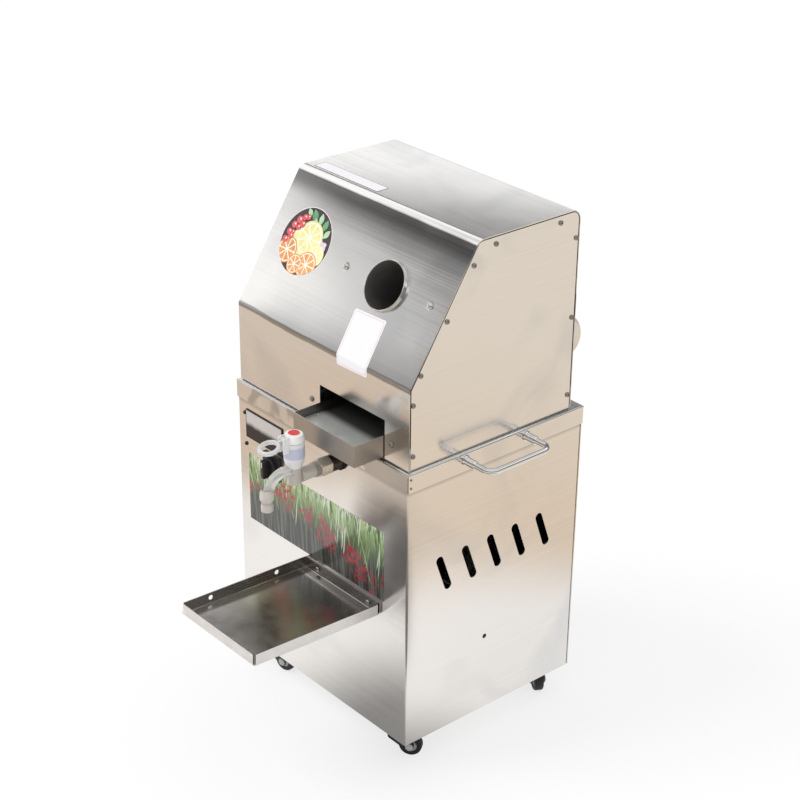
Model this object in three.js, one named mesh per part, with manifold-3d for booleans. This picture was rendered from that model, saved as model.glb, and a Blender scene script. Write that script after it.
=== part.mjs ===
// Electric sugarcane juicer in folded stainless steel: a cabinet on four castors, and a hood
// with a three-roller mill. A cane goes in through the round tube on the slope and leaves by
// the chute behind. The juice runs down the tray into the tank, and out of the tap.
//
// Millimetres, +Z up. The machine is drawn from the middle of the cabinet's front bottom edge,
// with +X to the right of someone who stands before it and +Y to the back.

import * as THREE from 'three';
import { mergeVertices } from 'three/addons/utils/BufferGeometryUtils.js';
import Module from 'manifold-3d';

const wasm = await Module();
wasm.setup();

// Fits
const seat = 0.3;
const running = 0.4;
const through = 4;
const root = 1;
const weld = 0.01;

// Cabinet
const cabinetWidth = 420;
const cabinetDepth = 360;
const cabinetHeight = 486;
const cabinetSheet = 1.5;
const sheetBend = 3;
const rearFlange = 18;

// Lid of the cabinet
const lidSheet = 1.3;
const lidSkirt = 31;
const lidBend = 3;
const cornerNotch = 2.2;
const notchLand = 4;
const lidWellWidth = 110;
const lidWellLength = 140;

// Air slots and cable hole in the cabinet's sides
const ventCount = 5;
const ventPitch = 52.2;
const ventFirst = 74.5;
const ventHeight = 290.5;
const ventSpan = 53;
const ventWidth = 14;
const ventLean = THREE.MathUtils.degToRad(19.8);
const sideHoleRadius = 3;
const sideHoleBack = 164.6;
const sideHoleHeight = 137.7;

// Back panel and floor pan
const backSlotRows = 6;
const backSlotPitch = 22;
const backSlotSpan = 90;
const backSlotWidth = 8;
const backSlotOffset = 95;
const backSlotHeight = 276;
const floorRise = -2;
const floorFlange = 16;

// Hood
const hoodWidth = 412.7;
const hoodFront = 3.9;
const hoodBack = 336;
const hoodGap = 3.4;
const hoodKinkHeight = 133.3;
const hoodTopHeight = 332.8;
const hoodTopFront = 131.2;
const hoodSheet = 1.5;
const hoodTopBend = 18;
const hoodKinkBend = 5;
const hoodFlange = 12;
const hoodReveal = 1.2;
const slotTop = 66;
const slotClearance = 1.5;

// Base ring that the hood and the mill stand on
const baseSheet = 1.5;
const baseUpstand = 38;
const baseLedge = 17;

// Feed tube, square to the slope
const feedCentre = 77;
const feedUpSlope = 122;
const feedBore = 37.5;
const feedWall = 2.2;
const feedStandOut = 7;
const feedReach = 78;
const feedPlateWidth = 214;
const feedPlateHeight = 96;
const feedPlateSheet = 2;

// Chute behind, parallel to the feed tube
const chuteCentre = 75;
const chuteEndBack = 443.8;
const chuteEndHeight = 46;
const chuteBore = 36.5;
const chuteWall = 2;
const chuteLength = 182;
const chutePlateSize = 112;

// Mill
const millBack = 200;
const millHeight = 211.6;
const gearModule = 3;
const topTeeth = 27;
const lowTeeth = 23;
const pressureAngle = THREE.MathUtils.degToRad(20);
const toothBacklash = 0.36;
const gearWidth = 16;
const lowSpread = 38.5;
const topRollerRadius = 39.5;
const lowRollerRadius = 34;
const topFlutes = 24;
const lowFlutes = 20;
const fluteDepth = 1.6;
const rollerLength = 150;
const rollerShoulder = 7;
const topJournal = 15;
const lowJournal = 13;
const bushWall = 4;
const bushFlange = 4;
const bushFlangeThickness = 3;
const millPlateThickness = 12;
const plateMargin = 2.4;
const millInside = 178;
const shaftEnd = 2;
const tieRadius = 6;
const tieHeight = 74;
const tieInset = 100;

// Drive
const gearboxWidth = 76;
const gearboxHalf = 46;
const gearboxFront = 42;
const gearboxNose = 26;
const gearboxNoseOut = 6;
const gearboxWall = 6;
const gearboxShoulder = 20;
const gearboxShoulderIn = 8;
const gearboxCorner = 10;
const gearboxRibs = 5;
const gearboxRib = 3;
const gearboxRibOut = 4;
const gearboxRibInset = 12;
const gearboxRibEnd = 22;
const wormOffset = 38;
const motorRadius = 38;
const motorLength = 132;
const motorFins = 10;
const motorFinDepth = 4;
const motorFlange = 10;
const motorCap = 20;
const motorCapRound = 8;
const outputRadius = 9;
const couplingRadius = 20;
const couplingLength = 26;
const bracketSheet = 5;
const bracketDepth = 130;
const bracketFront = 45;
const bracketHole = 3;

// Juice tray and its runners
const trayWidth = 150;
const trayHeight = 36;
const trayStandOut = 56.4;
const trayLength = 310;
const traySheet = 1.5;
const trayLipDepth = 14;
const trayFall = 11;
const trayDrain = 12;
const runnerHeight = 4;
const runnerWidth = 14;
const runnerLip = 16;

// Juice tank
const tankWidth = 180;
const tankLength = 222;
const tankHeight = 58;
const tankSheet = 1.5;
const tankRim = 11;
const tankFront = 16;

// Tap
const tapCentre = 50;
const tapAboveTank = 19.2;
const tapPipe = 11;
const tapStandOut = 86;
const tapBody = 16;
const tapBodyHeight = 72;
const tapFoot = 2;
const tapFootHeight = 3;
const tapNeckHeight = 27;
const tapFlareHeight = 40;
const tapCapHeight = 13;
const capRound = 2;
const capDisc = 9;
const tapNutRadius = 16;
const tapNutLength = 20;
const tapNutStandOut = 20;
const tapNutCollar = 13.5;
const gasketThickness = 3;
const spoutRadius = 8;
const spoutDrop = 38;
const spoutReach = 52;
const spoutRise = 12;
const spoutSteps = 10;
const spoutCollarHeight = 22;
const spoutLip = 1.5;
const spoutWall = 2;
const leverRing = 14;
const leverRod = 3;
const leverReach = 26;
const leverHub = 4;
const leverPin = 1.6;
const leverHalf = 4.5;
const leverAbove = 8;
const earSheet = 2.5;
const earDrop = 22;
const leverTilt = THREE.MathUtils.degToRad(20);

// Drip tray
const dripCentre = 53.75;
const dripWidth = 182.5;
const dripLength = 236;
const dripHeight = 20;
const dripTop = 235;
const dripTilt = THREE.MathUtils.degToRad(2);
const dripHole = 4;
const dripHoleRear = 59;
const dripHoleFront = 184;

// Meter and switch in the cabinet's front
const meterCentre = -140.5;
const meterDrop = 70.5;
const meterWidth = 96;
const meterTall = 48;
const meterRim = 3;
const meterBodyDepth = 40;
const windowSheet = 1;
const switchCentre = -122;
const switchGap = 7;
const switchSize = 44;
const switchNeck = 11;
const knobRadius = 17;
const knobDepth = 18;
const knobEdge = 1.5;

// Carrying handles
const handleRod = 5;
const handleSpan = 125;
const handleCentre = 175.5;
const handleDrop = 13;
const handleStandOut = 58;
const handleBend = 15;
const handleCollar = 8;

// Battery pack and power inlet
const batteryLength = 181;
const batteryDepth = 77;
const batteryTall = 160;
const batteryCentre = -60;
const batteryBack = 180;
const batteryLid = 25;
const batteryLedge = 3;
const terminalSize = 12;
const terminalHeight = 7;
const terminalInset = 32.6;
const inletCentre = -120;
const inletHeight = 80;
const inletWidth = 48;
const inletTall = 28;
const inletDepth = 14;

// Castors
const castorSideInset = 50;
const castorEndInset = 28;
const castorDrop = 50;
const castorWheel = 19;
const castorWheelWidth = 17;
const treadRound = 3;
const castorTrail = 22;
const castorPlateLength = 68;
const castorPlateWidth = 44;
const castorPlateThickness = 2.5;
const castorPin = 4;
const castorAxle = 3;
const forkSheet = 2;
const headHeight = 5;
const wheelSpace = 1.2;
const pinHead = 7;
const pinHeadHeight = 2;
const crown = 14;
const forkEnd = 6;
const axleEnd = 1.5;

// Facets of round pieces
const fine = 24;
const medium = 16;
const coarse = 8;
const rodSides = 10;
const hexagon = 6;
const bendSteps = 3;
const endSteps = 2;

// Places that follow from the sizes
const halfCabinet = cabinetWidth / 2;
const lidUnder = cabinetHeight - lidSheet;
const shellTop = lidUnder - lidBend + lidSheet;
const tankTop = lidUnder - seat;
const shellRear = cabinetDepth - cabinetSheet - seat;
const hoodBottom = cabinetHeight + hoodGap;
const hoodKink = cabinetHeight + hoodKinkHeight;
const hoodTop = cabinetHeight + hoodTopHeight;
const halfHood = hoodWidth / 2;
const slopeAngle = Math.atan2(hoodTop - hoodKink, hoodTopFront - hoodFront);
const upSlope = new THREE.Vector3(0, Math.cos(slopeAngle), Math.sin(slopeAngle));
const outOfSlope = new THREE.Vector3(0, -Math.sin(slopeAngle), Math.cos(slopeAngle));
const millCentre = chuteCentre;
const topPitch = gearModule * topTeeth / 2;
const lowPitch = gearModule * lowTeeth / 2;
const gearCentres = topPitch + lowPitch;
const lowDrop = Math.sqrt(gearCentres ** 2 - lowSpread ** 2);
const topAxis = { y: millBack, z: cabinetHeight + millHeight };
const frontAxis = { y: millBack - lowSpread, z: topAxis.z - lowDrop };
const rearAxis = { y: millBack + lowSpread, z: topAxis.z - lowDrop };
const baseFloor = cabinetHeight + seat;
const baseTop = baseFloor + baseUpstand;
const millFloor = baseFloor + baseSheet + seat;
const trayBottom = baseFloor + runnerHeight + seat;
const trayTop = trayBottom + trayHeight;
const trayFront = hoodFront - trayStandOut;
const tankBottom = tankTop - tankHeight;
const tapHeight = tankBottom + tapAboveTank;
const meterHeight = cabinetHeight - meterDrop;
const switchHeight = meterHeight - meterTall / 2 - switchGap - switchSize / 2;
const handleHeight = cabinetHeight - handleDrop;
const castorSide = halfCabinet - castorSideInset;
const castorFront = castorEndInset;
const castorRear = cabinetDepth - castorEndInset;

// Solids

function solid(geometry) {
  const bare = geometry.clone();
  bare.deleteAttribute('normal');
  bare.deleteAttribute('uv');
  const merged = mergeVertices(bare, 1e-3);
  const corners = merged.index.array;
  const kept = [];
  for (let i = 0; i < corners.length; i += 3) {
    const [a, b, c] = corners.slice(i, i + 3);
    if (a !== b && b !== c && c !== a) kept.push(a, b, c);
  }
  return new wasm.Manifold(new wasm.Mesh({
    numProp: 3,
    vertProperties: merged.attributes.position.array,
    triVerts: new Uint32Array(kept),
  }));
}

function join(first, ...others) {
  return others.reduce((whole, other) => whole.add(other), first);
}

function cut(body, ...tools) {
  return tools.reduce((rest, tool) => rest.subtract(tool), body);
}

function box(x, y, z) {
  const geometry = new THREE.BoxGeometry(x[1] - x[0], y[1] - y[0], z[1] - z[0]);
  geometry.translate((x[0] + x[1]) / 2, (y[0] + y[1]) / 2, (z[0] + z[1]) / 2);
  return solid(geometry);
}

function around(centre, size) {
  return [centre - size / 2, centre + size / 2];
}

// The lathe turns about Y, so these turn its axis to the one that is wanted
const turnTo = {
  x: (geometry) => geometry.rotateZ(-Math.PI / 2),
  y: (geometry) => geometry,
  z: (geometry) => geometry.rotateX(Math.PI / 2),
};

// Turned piece: the profile is a list of [radius, place along the axis], bottom to top outside
function turned(axis, profile, centre, sides) {
  const points = profile.map(([radius, along]) => new THREE.Vector2(radius, along));
  const geometry = turnTo[axis](new THREE.LatheGeometry(points, sides));
  geometry.translate(centre.x ?? 0, centre.y ?? 0, centre.z ?? 0);
  return solid(geometry);
}

function rod(axis, radius, from, to, centre, sides) {
  return turned(axis, [[0, from], [radius, from], [radius, to], [0, to]], centre, sides);
}

function ring(axis, bore, radius, from, to, centre, sides) {
  return turned(axis, [[bore, from], [radius, from], [radius, to], [bore, to], [bore, from]], centre, sides);
}

function extrudeX(shape, x) {
  const geometry = new THREE.ExtrudeGeometry(shape, { depth: x[1] - x[0], bevelEnabled: false });
  geometry.rotateX(Math.PI / 2);
  geometry.rotateZ(Math.PI / 2);
  geometry.translate(x[0], 0, 0);
  return solid(geometry);
}

function extrudeY(shape, y) {
  const geometry = new THREE.ExtrudeGeometry(shape, { depth: y[1] - y[0], bevelEnabled: false });
  geometry.rotateX(Math.PI / 2);
  geometry.translate(0, y[1], 0);
  return solid(geometry);
}

function extrudeZ(shape, z) {
  const geometry = new THREE.ExtrudeGeometry(shape, { depth: z[1] - z[0], bevelEnabled: false });
  geometry.translate(0, 0, z[0]);
  return solid(geometry);
}

function points2(list) {
  return list.map(([a, b]) => new THREE.Vector2(a, b));
}

// Folded sheets

// Path through the corners with an arc of the given radius at each inner one
function bentPath(corners, radii) {
  const path = [corners[0]];
  for (let i = 1; i < corners.length - 1; i += 1) {
    const toLast = corners[i - 1].clone().sub(corners[i]).normalize();
    const toNext = corners[i + 1].clone().sub(corners[i]).normalize();
    const half = Math.acos(THREE.MathUtils.clamp(toLast.dot(toNext), -1, 1)) / 2;
    const radius = radii[i - 1];
    if (radius < seat) {
      path.push(corners[i]);
      continue;
    }
    const middle = toLast.clone().add(toNext).normalize();
    const centre = corners[i].clone().addScaledVector(middle, radius / Math.sin(half));
    const start = corners[i].clone().addScaledVector(toLast, radius / Math.tan(half)).sub(centre);
    const end = corners[i].clone().addScaledVector(toNext, radius / Math.tan(half)).sub(centre);
    const sweep = Math.atan2(start.cross(end), start.dot(end));
    for (let k = 0; k <= bendSteps; k += 1) {
      path.push(start.clone().rotateAround(new THREE.Vector2(), sweep * k / bendSteps).add(centre));
    }
  }
  path.push(corners[corners.length - 1]);
  return path;
}

// The same corners, moved to the left of the path
function offsetCorners(corners, distance) {
  const left = (from, to) => {
    const along = to.clone().sub(from).normalize();
    return new THREE.Vector2(-along.y, along.x);
  };
  return corners.map((corner, i) => {
    const before = i > 0 ? left(corners[i - 1], corner) : left(corner, corners[i + 1]);
    const after = i < corners.length - 1 ? left(corner, corners[i + 1]) : before;
    const middle = before.clone().add(after).normalize();
    return corner.clone().addScaledVector(middle, distance / middle.dot(before));
  });
}

// Section of a sheet whose outside runs through the corners, with its thickness to the left
function sheetSection(corners, radii, thickness) {
  const outside = bentPath(corners, radii);
  const inside = bentPath(offsetCorners(corners, thickness), radii.map((radius) => radius - thickness));
  return new THREE.Shape([...outside, ...inside.reverse()]);
}

// Rectangle with its two lower corners rounded, or its two upper ones
function foldedRectangle(a, b, radius, roundTop) {
  const low = roundTop ? 0 : radius;
  const high = roundTop ? radius : 0;
  const corners = points2([
    [(a[0] + a[1]) / 2, b[0]],
    [a[1], b[0]],
    [a[1], b[1]],
    [a[0], b[1]],
    [a[0], b[0]],
    [(a[0] + a[1]) / 2, b[0]],
  ]);
  const path = bentPath(corners, [low, high, high, low]);
  path.pop();
  return new THREE.Shape(path);
}

// Block whose bottom edges, or top edges, are rounded as the folds of a pan are
function foldedBlock(x, y, z, radius, roundTop) {
  const alongY = extrudeY(foldedRectangle(x, z, radius, roundTop), y);
  const alongX = extrudeX(foldedRectangle(y, z, radius, roundTop), x);
  return alongY.intersect(alongX);
}

function inset(range, distance) {
  return [range[0] + distance, range[1] - distance];
}

// Folded pan, open at the top
function pan(x, y, z, sheet, radius) {
  const outside = foldedBlock(x, y, z, radius, false);
  const inner = [z[0] + sheet, z[1] + through];
  return outside.subtract(foldedBlock(inset(x, sheet), inset(y, sheet), inner, radius - sheet, false));
}

// Folded lid, open at the bottom
function lid(x, y, z, sheet, radius) {
  const outside = foldedBlock(x, y, z, radius, true);
  const inner = [z[0] - through, z[1] - sheet];
  return outside.subtract(foldedBlock(inset(x, sheet), inset(y, sheet), inner, radius - sheet, true));
}

// Open corners, where the folds of a pan meet
function cornerNotches(x, y, z, size = cornerNotch) {
  const notches = [];
  for (const edgeX of x) {
    for (const edgeY of y) notches.push(box(around(edgeX, 2 * size), around(edgeY, 2 * size), z));
  }
  return notches;
}

// Slot with round ends, drawn upright about the origin
function slotShape(span, width) {
  const shape = new THREE.Shape();
  shape.absarc(0, span / 2, width / 2, 0, Math.PI, false);
  shape.absarc(0, -span / 2, width / 2, Math.PI, 2 * Math.PI, false);
  return new THREE.Shape(shape.getPoints(endSteps).slice(0, -1));
}

// Rod along a path that is given by its stations, so that bends get steps and straights don't
class StationPath extends THREE.Curve {
  constructor(stations) {
    super();
    this.stations = stations;
  }

  getPoint(t) {
    const place = t * (this.stations.length - 1);
    const i = Math.min(Math.floor(place), this.stations.length - 2);
    return this.stations[i].clone().lerp(this.stations[i + 1], place - i);
  }

  getPointAt(u) {
    return this.getPoint(u);
  }

  getTangentAt(u) {
    const i = Math.round(u * (this.stations.length - 1));
    const last = this.stations[Math.max(i - 1, 0)];
    const next = this.stations[Math.min(i + 1, this.stations.length - 1)];
    return next.clone().sub(last).normalize();
  }
}

function sweptRod(radius, stations, sides) {
  const circle = new THREE.Shape(new THREE.EllipseCurve(0, 0, radius, radius).getPoints(sides).slice(0, -1));
  const path = new StationPath(stations);
  const steps = stations.length - 1;
  return solid(new THREE.ExtrudeGeometry(circle, { extrudePath: path, steps, bevelEnabled: false }));
}

// The scene

const juicer = new THREE.Group();

function piece(name, body, color, roughness, metalness, parent = juicer) {
  const { vertProperties, triVerts } = body.simplify(weld).getMesh();
  const geometry = new THREE.BufferGeometry();
  geometry.setAttribute('position', new THREE.BufferAttribute(vertProperties, 3));
  geometry.setIndex(new THREE.BufferAttribute(triVerts, 1));
  geometry.computeVertexNormals();
  const mesh = new THREE.Mesh(geometry, new THREE.MeshStandardMaterial({ color, roughness, metalness }));
  mesh.name = name;
  parent.add(mesh);
  return mesh;
}

const stainless = [0xc9c5bd, 0.32, 1];
const darkSteel = [0x6f6d6a, 0.45, 1];
const castMetal = [0x8a8c8e, 0.6, 0.7];
const bronze = [0xb08d57, 0.4, 1];
const chromed = [0xe2e2e2, 0.12, 1];
const blackPlastic = [0x1b1b1d, 0.5, 0];
const blackRubber = [0x141414, 0.85, 0];
const clearPlastic = [0xdfe6ea, 0.12, 0];
const whitePlastic = [0xf2f2ee, 0.35, 0];

// Cabinet

const shellPlan = points2([
  [-halfCabinet + rearFlange, shellRear],
  [-halfCabinet, shellRear],
  [-halfCabinet, 0],
  [halfCabinet, 0],
  [halfCabinet, shellRear],
  [halfCabinet - rearFlange, shellRear],
]);
const sideWall = [halfCabinet - rearFlange, halfCabinet + through];
const frontWall = [-through, cabinetSheet + through];
const meterHole = [meterWidth - 4 * meterRim, meterTall - 2 * meterRim];

function airSlot(index, side) {
  const geometry = new THREE.ExtrudeGeometry(slotShape(ventSpan, ventWidth), {
    depth: rearFlange,
    bevelEnabled: false,
  });
  geometry.rotateX(Math.PI / 2);
  geometry.rotateZ(Math.PI / 2);
  geometry.rotateX(ventLean);
  const x = side > 0 ? sideWall[0] : -sideWall[0] - rearFlange;
  geometry.translate(x, ventFirst + index * ventPitch, ventHeight);
  return solid(geometry);
}

const airSlots = [];
for (let i = 0; i < ventCount; i += 1) airSlots.push(airSlot(i, 1), airSlot(i, -1));

piece('cabinet_shell', cut(
  extrudeZ(sheetSection(shellPlan, Array(4).fill(sheetBend), cabinetSheet), [0, shellTop]),
  ...airSlots,
  rod('x', sideHoleRadius, ...sideWall, { y: sideHoleBack, z: sideHoleHeight }, coarse),
  rod('y', tapPipe + seat, ...frontWall, { x: tapCentre, z: tapHeight }, medium),
  rod('y', switchNeck + seat, ...frontWall, { x: switchCentre, z: switchHeight }, medium),
  box(around(meterCentre, meterHole[0] + 2 * seat), frontWall, around(meterHeight, meterHole[1] + 2 * seat)),
), ...stainless);

// The wall's slots lie across, in two columns
const backSlots = [];
for (let row = 0; row < backSlotRows; row += 1) {
  for (const side of [-1, 1]) {
    const geometry = new THREE.ExtrudeGeometry(slotShape(backSlotSpan, backSlotWidth), {
      depth: cabinetSheet + 2 * through,
      bevelEnabled: false,
    });
    geometry.rotateZ(Math.PI / 2);
    geometry.rotateX(Math.PI / 2);
    geometry.translate(side * backSlotOffset, cabinetDepth + through, backSlotHeight + row * backSlotPitch);
    backSlots.push(solid(geometry));
  }
}
const backWall = [cabinetDepth - cabinetSheet, cabinetDepth];
piece('cabinet_back', cut(
  box(around(0, cabinetWidth), backWall, [0, shellTop]),
  ...backSlots,
  box(
    around(inletCentre, inletWidth - 4 * meterRim + 2 * seat),
    [backWall[0] - through, backWall[1] + through],
    around(inletHeight, inletTall - meterRim + 2 * seat),
  ),
), ...stainless);

const insideCabinet = {
  x: inset([-halfCabinet, halfCabinet], cabinetSheet + seat),
  y: [cabinetSheet + seat, shellRear - cabinetSheet - seat],
};
const floorTop = floorRise + cabinetSheet;
const floorZ = [floorRise, floorRise + floorFlange];
piece('cabinet_floor', cut(
  pan(insideCabinet.x, insideCabinet.y, floorZ, cabinetSheet, sheetBend),
  ...cornerNotches(insideCabinet.x, insideCabinet.y, inset(floorZ, -through), sheetBend + seat),
), ...stainless);

const lidOut = seat + lidSheet;
const lidX = [-halfCabinet - lidOut, halfCabinet + lidOut];
const lidY = [-lidOut, cabinetDepth + lidOut];
const lidZ = [cabinetHeight - lidSkirt, cabinetHeight];
const lidSheetZ = [lidUnder, cabinetHeight];

const wellBack = millBack - lidWellLength / 2 - trayDrain;
piece('cabinet_top', cut(
  lid(lidX, lidY, lidZ, lidSheet, lidBend),
  ...cornerNotches(lidX, lidY, [lidZ[0] - through, lidZ[1] - notchLand]),
  box(around(millCentre, lidWellWidth), around(wellBack, lidWellLength), inset(lidSheetZ, -through)),
  rod('y', tapNutRadius + slotClearance, -through, cabinetSheet, { x: tapCentre, z: tapHeight }, medium),
), ...stainless);

// Hood

const hoodCorners = points2([
  [hoodBack, hoodBottom],
  [hoodBack, hoodTop],
  [hoodTopFront, hoodTop],
  [hoodFront, hoodKink],
  [hoodFront, hoodBottom],
]);
const hoodBends = [hoodTopBend, hoodTopBend, hoodKinkBend];
const flangeIn = halfHood - 2 * hoodSheet - seat;
const flangeStart = baseTop + 2 * seat;

// Strip of sheet turned in along the edge, behind the side plate
function hoodFlangeBand(side) {
  const middle = offsetCorners(hoodCorners, hoodSheet / 2);
  const section = sheetSection(middle, hoodBends.map((radius) => radius - hoodSheet / 2), hoodFlange);
  const x = side > 0 ? [flangeIn, flangeIn + hoodSheet] : [-flangeIn - hoodSheet, -flangeIn];
  const all = [-through, hoodBack + through];
  return extrudeX(section, x).subtract(box([-halfHood, halfHood], all, [0, flangeStart]));
}

const slopePoint = (x, up, out) => new THREE.Vector3(x, hoodFront, hoodKink)
  .addScaledVector(upSlope, up)
  .addScaledVector(outOfSlope, out);

// Rod along the slope's normal, between two distances out of the slope
function slopeRod(radius, from, to, x, up) {
  const geometry = new THREE.CylinderGeometry(radius, radius, to - from, fine);
  geometry.rotateX(slopeAngle + Math.PI / 2);
  const middle = slopePoint(x, up, (from + to) / 2);
  geometry.translate(middle.x, middle.y, middle.z);
  return solid(geometry);
}

// Rod parallel to it through the chute's end, measured inwards from that end
const chuteEnd = new THREE.Vector3(chuteCentre, chuteEndBack, cabinetHeight + chuteEndHeight);
function chuteRod(radius, from, to) {
  const geometry = new THREE.CylinderGeometry(radius, radius, to - from, fine);
  geometry.rotateX(slopeAngle + Math.PI / 2);
  const middle = chuteEnd.clone().addScaledVector(outOfSlope, (from + to) / 2);
  geometry.translate(middle.x, middle.y, middle.z);
  return solid(geometry);
}

const traySlotX = inset([millCentre - trayWidth / 2, millCentre + trayWidth / 2], -slotClearance);
const hoodWrap = extrudeX(sheetSection(hoodCorners, hoodBends, hoodSheet), [-halfHood, halfHood]);
piece('hood_wrap', cut(
  join(hoodWrap, hoodFlangeBand(1), hoodFlangeBand(-1)),
  slopeRod(feedBore + feedWall + seat, -feedReach, feedStandOut, feedCentre, feedUpSlope),
  chuteRod(chuteBore + chuteWall + seat, 0, chuteLength),
  box(traySlotX, [-through, hoodFront + hoodSheet + through], [0, cabinetHeight + slotTop]),
), ...stainless);

const panelCorners = offsetCorners(hoodCorners, hoodSheet + hoodReveal);
const panelBends = hoodBends.map((radius) => radius - hoodSheet - hoodReveal);
const panelShape = new THREE.Shape(bentPath(panelCorners, panelBends));
piece('hood_side_right', extrudeX(panelShape, [halfHood - hoodSheet, halfHood]), ...stainless);
piece('hood_side_left', extrudeX(panelShape, [-halfHood, -halfHood + hoodSheet]), ...stainless);

const baseX = [-flangeIn - hoodSheet, flangeIn + hoodSheet];
const baseY = [hoodFront + hoodSheet + seat, hoodBack - hoodSheet - seat];
piece('hood_base', cut(
  box(baseX, baseY, [baseFloor, baseTop]),
  box(inset(baseX, baseSheet), inset(baseY, baseSheet), [baseFloor + baseSheet, baseTop + through]),
  box(inset(baseX, baseLedge), inset(baseY, baseLedge), [baseFloor - through, baseTop]),
  box(traySlotX, [hoodFront, hoodFront + baseLedge], [baseFloor + baseSheet, baseTop + through]),
), ...darkSteel);

// Feed tube with the plate that holds it behind the slope

function slopePlate(width, height, from, to, x, up) {
  const geometry = new THREE.BoxGeometry(width, height, to - from);
  geometry.rotateX(slopeAngle);
  const middle = slopePoint(x, up, (from + to) / 2);
  geometry.translate(middle.x, middle.y, middle.z);
  return solid(geometry);
}

const plateOut = -hoodSheet - seat;
piece('feed_tube', cut(
  join(
    slopeRod(feedBore + feedWall, -feedReach, feedStandOut, feedCentre, feedUpSlope),
    slopePlate(feedPlateWidth, feedPlateHeight, plateOut - feedPlateSheet, plateOut, feedCentre, feedUpSlope),
  ),
  slopeRod(feedBore, -feedReach - through, feedStandOut + through, feedCentre, feedUpSlope),
), ...stainless);

// Chute with the plate that holds it inside the hood's back

const chutePlateY = [baseY[1] - baseSheet, baseY[1]];
const chutePlateHeight = chuteEnd.z + (chuteEnd.y - hoodBack) / Math.tan(slopeAngle);
piece('rear_chute', cut(
  join(
    chuteRod(chuteBore + chuteWall, 0, chuteLength),
    box(around(chuteCentre, chutePlateSize), chutePlateY, around(chutePlateHeight, chutePlateSize)),
  ),
  chuteRod(chuteBore, -through, chuteLength + through),
), ...stainless);

// Carrying handles

function handle(side) {
  const near = handleCentre - handleSpan / 2;
  const far = handleCentre + handleSpan / 2;
  const foot = halfCabinet + lidOut + seat;
  const grip = foot + handleStandOut - handleRod;
  const corners = points2([[foot, near], [grip, near], [grip, far], [foot, far]]);
  const outline = bentPath(corners, [handleBend, handleBend]);
  const stations = outline.map((point) => new THREE.Vector3(side * point.x, point.y, handleHeight));
  const collars = [near, far].map((y) => {
    const x = side > 0 ? [foot, foot + handleRod] : [-foot - handleRod, -foot];
    return rod('x', handleCollar, ...x, { y, z: handleHeight }, coarse);
  });
  return join(sweptRod(handleRod, stations, rodSides), ...collars);
}

piece('carry_handle_right', handle(1), ...chromed);
piece('carry_handle_left', handle(-1), ...chromed);

// Drip tray, tipped up a little at its front and screwed to the cabinet by its back wall

function dripTray() {
  const x = around(dripCentre, dripWidth);
  const y = [-dripLength, 0];
  const z = [0, dripHeight];
  const holes = [dripHoleRear, dripHoleFront].map((back) => {
    const centre = { y: -back, z: dripHeight / 2 + traySheet };
    return rod('x', dripHole, x[0] - through, x[0] + through, centre, coarse);
  });
  const tray = cut(
    pan(x, y, z, traySheet, sheetBend),
    ...cornerNotches(x, [y[0]], [notchLand, dripHeight + through]),
    ...holes,
  );
  const lean = dripHeight * Math.sin(dripTilt);
  const tipped = tray.rotate([-THREE.MathUtils.radToDeg(dripTilt), 0, 0]);
  return tipped.translate([0, -seat - lean, dripTop - dripHeight]);
}

piece('drip_tray', dripTray(), ...stainless);

// Meter

const meterX = around(meterCentre, meterWidth);
const meterZ = around(meterHeight, meterTall);
const meterFace = -seat - meterRim;
const windowBack = meterFace + seat + windowSheet;
piece('meter_housing', cut(
  join(
    box(meterX, [meterFace, -seat], meterZ),
    box(around(meterCentre, meterHole[0]), [-seat - root, meterBodyDepth], around(meterHeight, meterHole[1])),
  ),
  box(inset(meterX, meterRim), [meterFace - through, windowBack + seat], inset(meterZ, meterRim)),
), ...blackPlastic);
piece('meter_window', box(
  inset(meterX, meterRim + seat),
  [meterFace + seat, windowBack],
  inset(meterZ, meterRim + seat),
), 0x2a2830, 0.1, 0);

// Switch

const switchFace = -seat - meterRim;
piece('switch_body', join(
  box(around(switchCentre, switchSize), [switchFace, -seat], around(switchHeight, switchSize)),
  rod('y', switchNeck, -seat - root, meterBodyDepth, { x: switchCentre, z: switchHeight }, medium),
), ...blackPlastic);

const knobBack = switchFace - running;
piece('switch_knob', join(
  rod('y', knobRadius, knobBack - knobDepth / 3, knobBack, { x: switchCentre, z: switchHeight }, medium),
  box(
    around(switchCentre, knobRadius / 2),
    [knobBack - knobDepth, knobBack - knobDepth / 3 + root],
    around(switchHeight, 2 * (knobRadius - knobEdge)),
  ),
), ...blackPlastic);

// Tap

const tapAxis = { x: tapCentre, y: -tapStandOut };
const tapBottom = tapHeight - tapPipe + root;
const tapTop = tapBottom + tapBodyHeight;
const nutFront = -tapNutLength - gasketThickness - tapNutStandOut;
piece('tap_gasket', ring(
  'y',
  tapPipe + seat,
  tapNutRadius,
  -seat - gasketThickness,
  -seat,
  { x: tapCentre, z: tapHeight },
  medium,
), ...blackRubber);

// Hexagon on a round collar, down to the gasket
const nutBack = -2 * seat - gasketThickness;
piece('tap_nut', cut(
  join(
    rod('y', tapNutRadius, nutFront, nutFront + tapNutLength, { x: tapCentre, z: tapHeight }, hexagon),
    rod('y', tapNutCollar, nutFront + tapNutLength - root, nutBack, { x: tapCentre, z: tapHeight }, medium),
  ),
  rod('y', tapPipe + seat, nutFront - through, through, { x: tapCentre, z: tapHeight }, medium),
), ...darkSteel);

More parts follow.
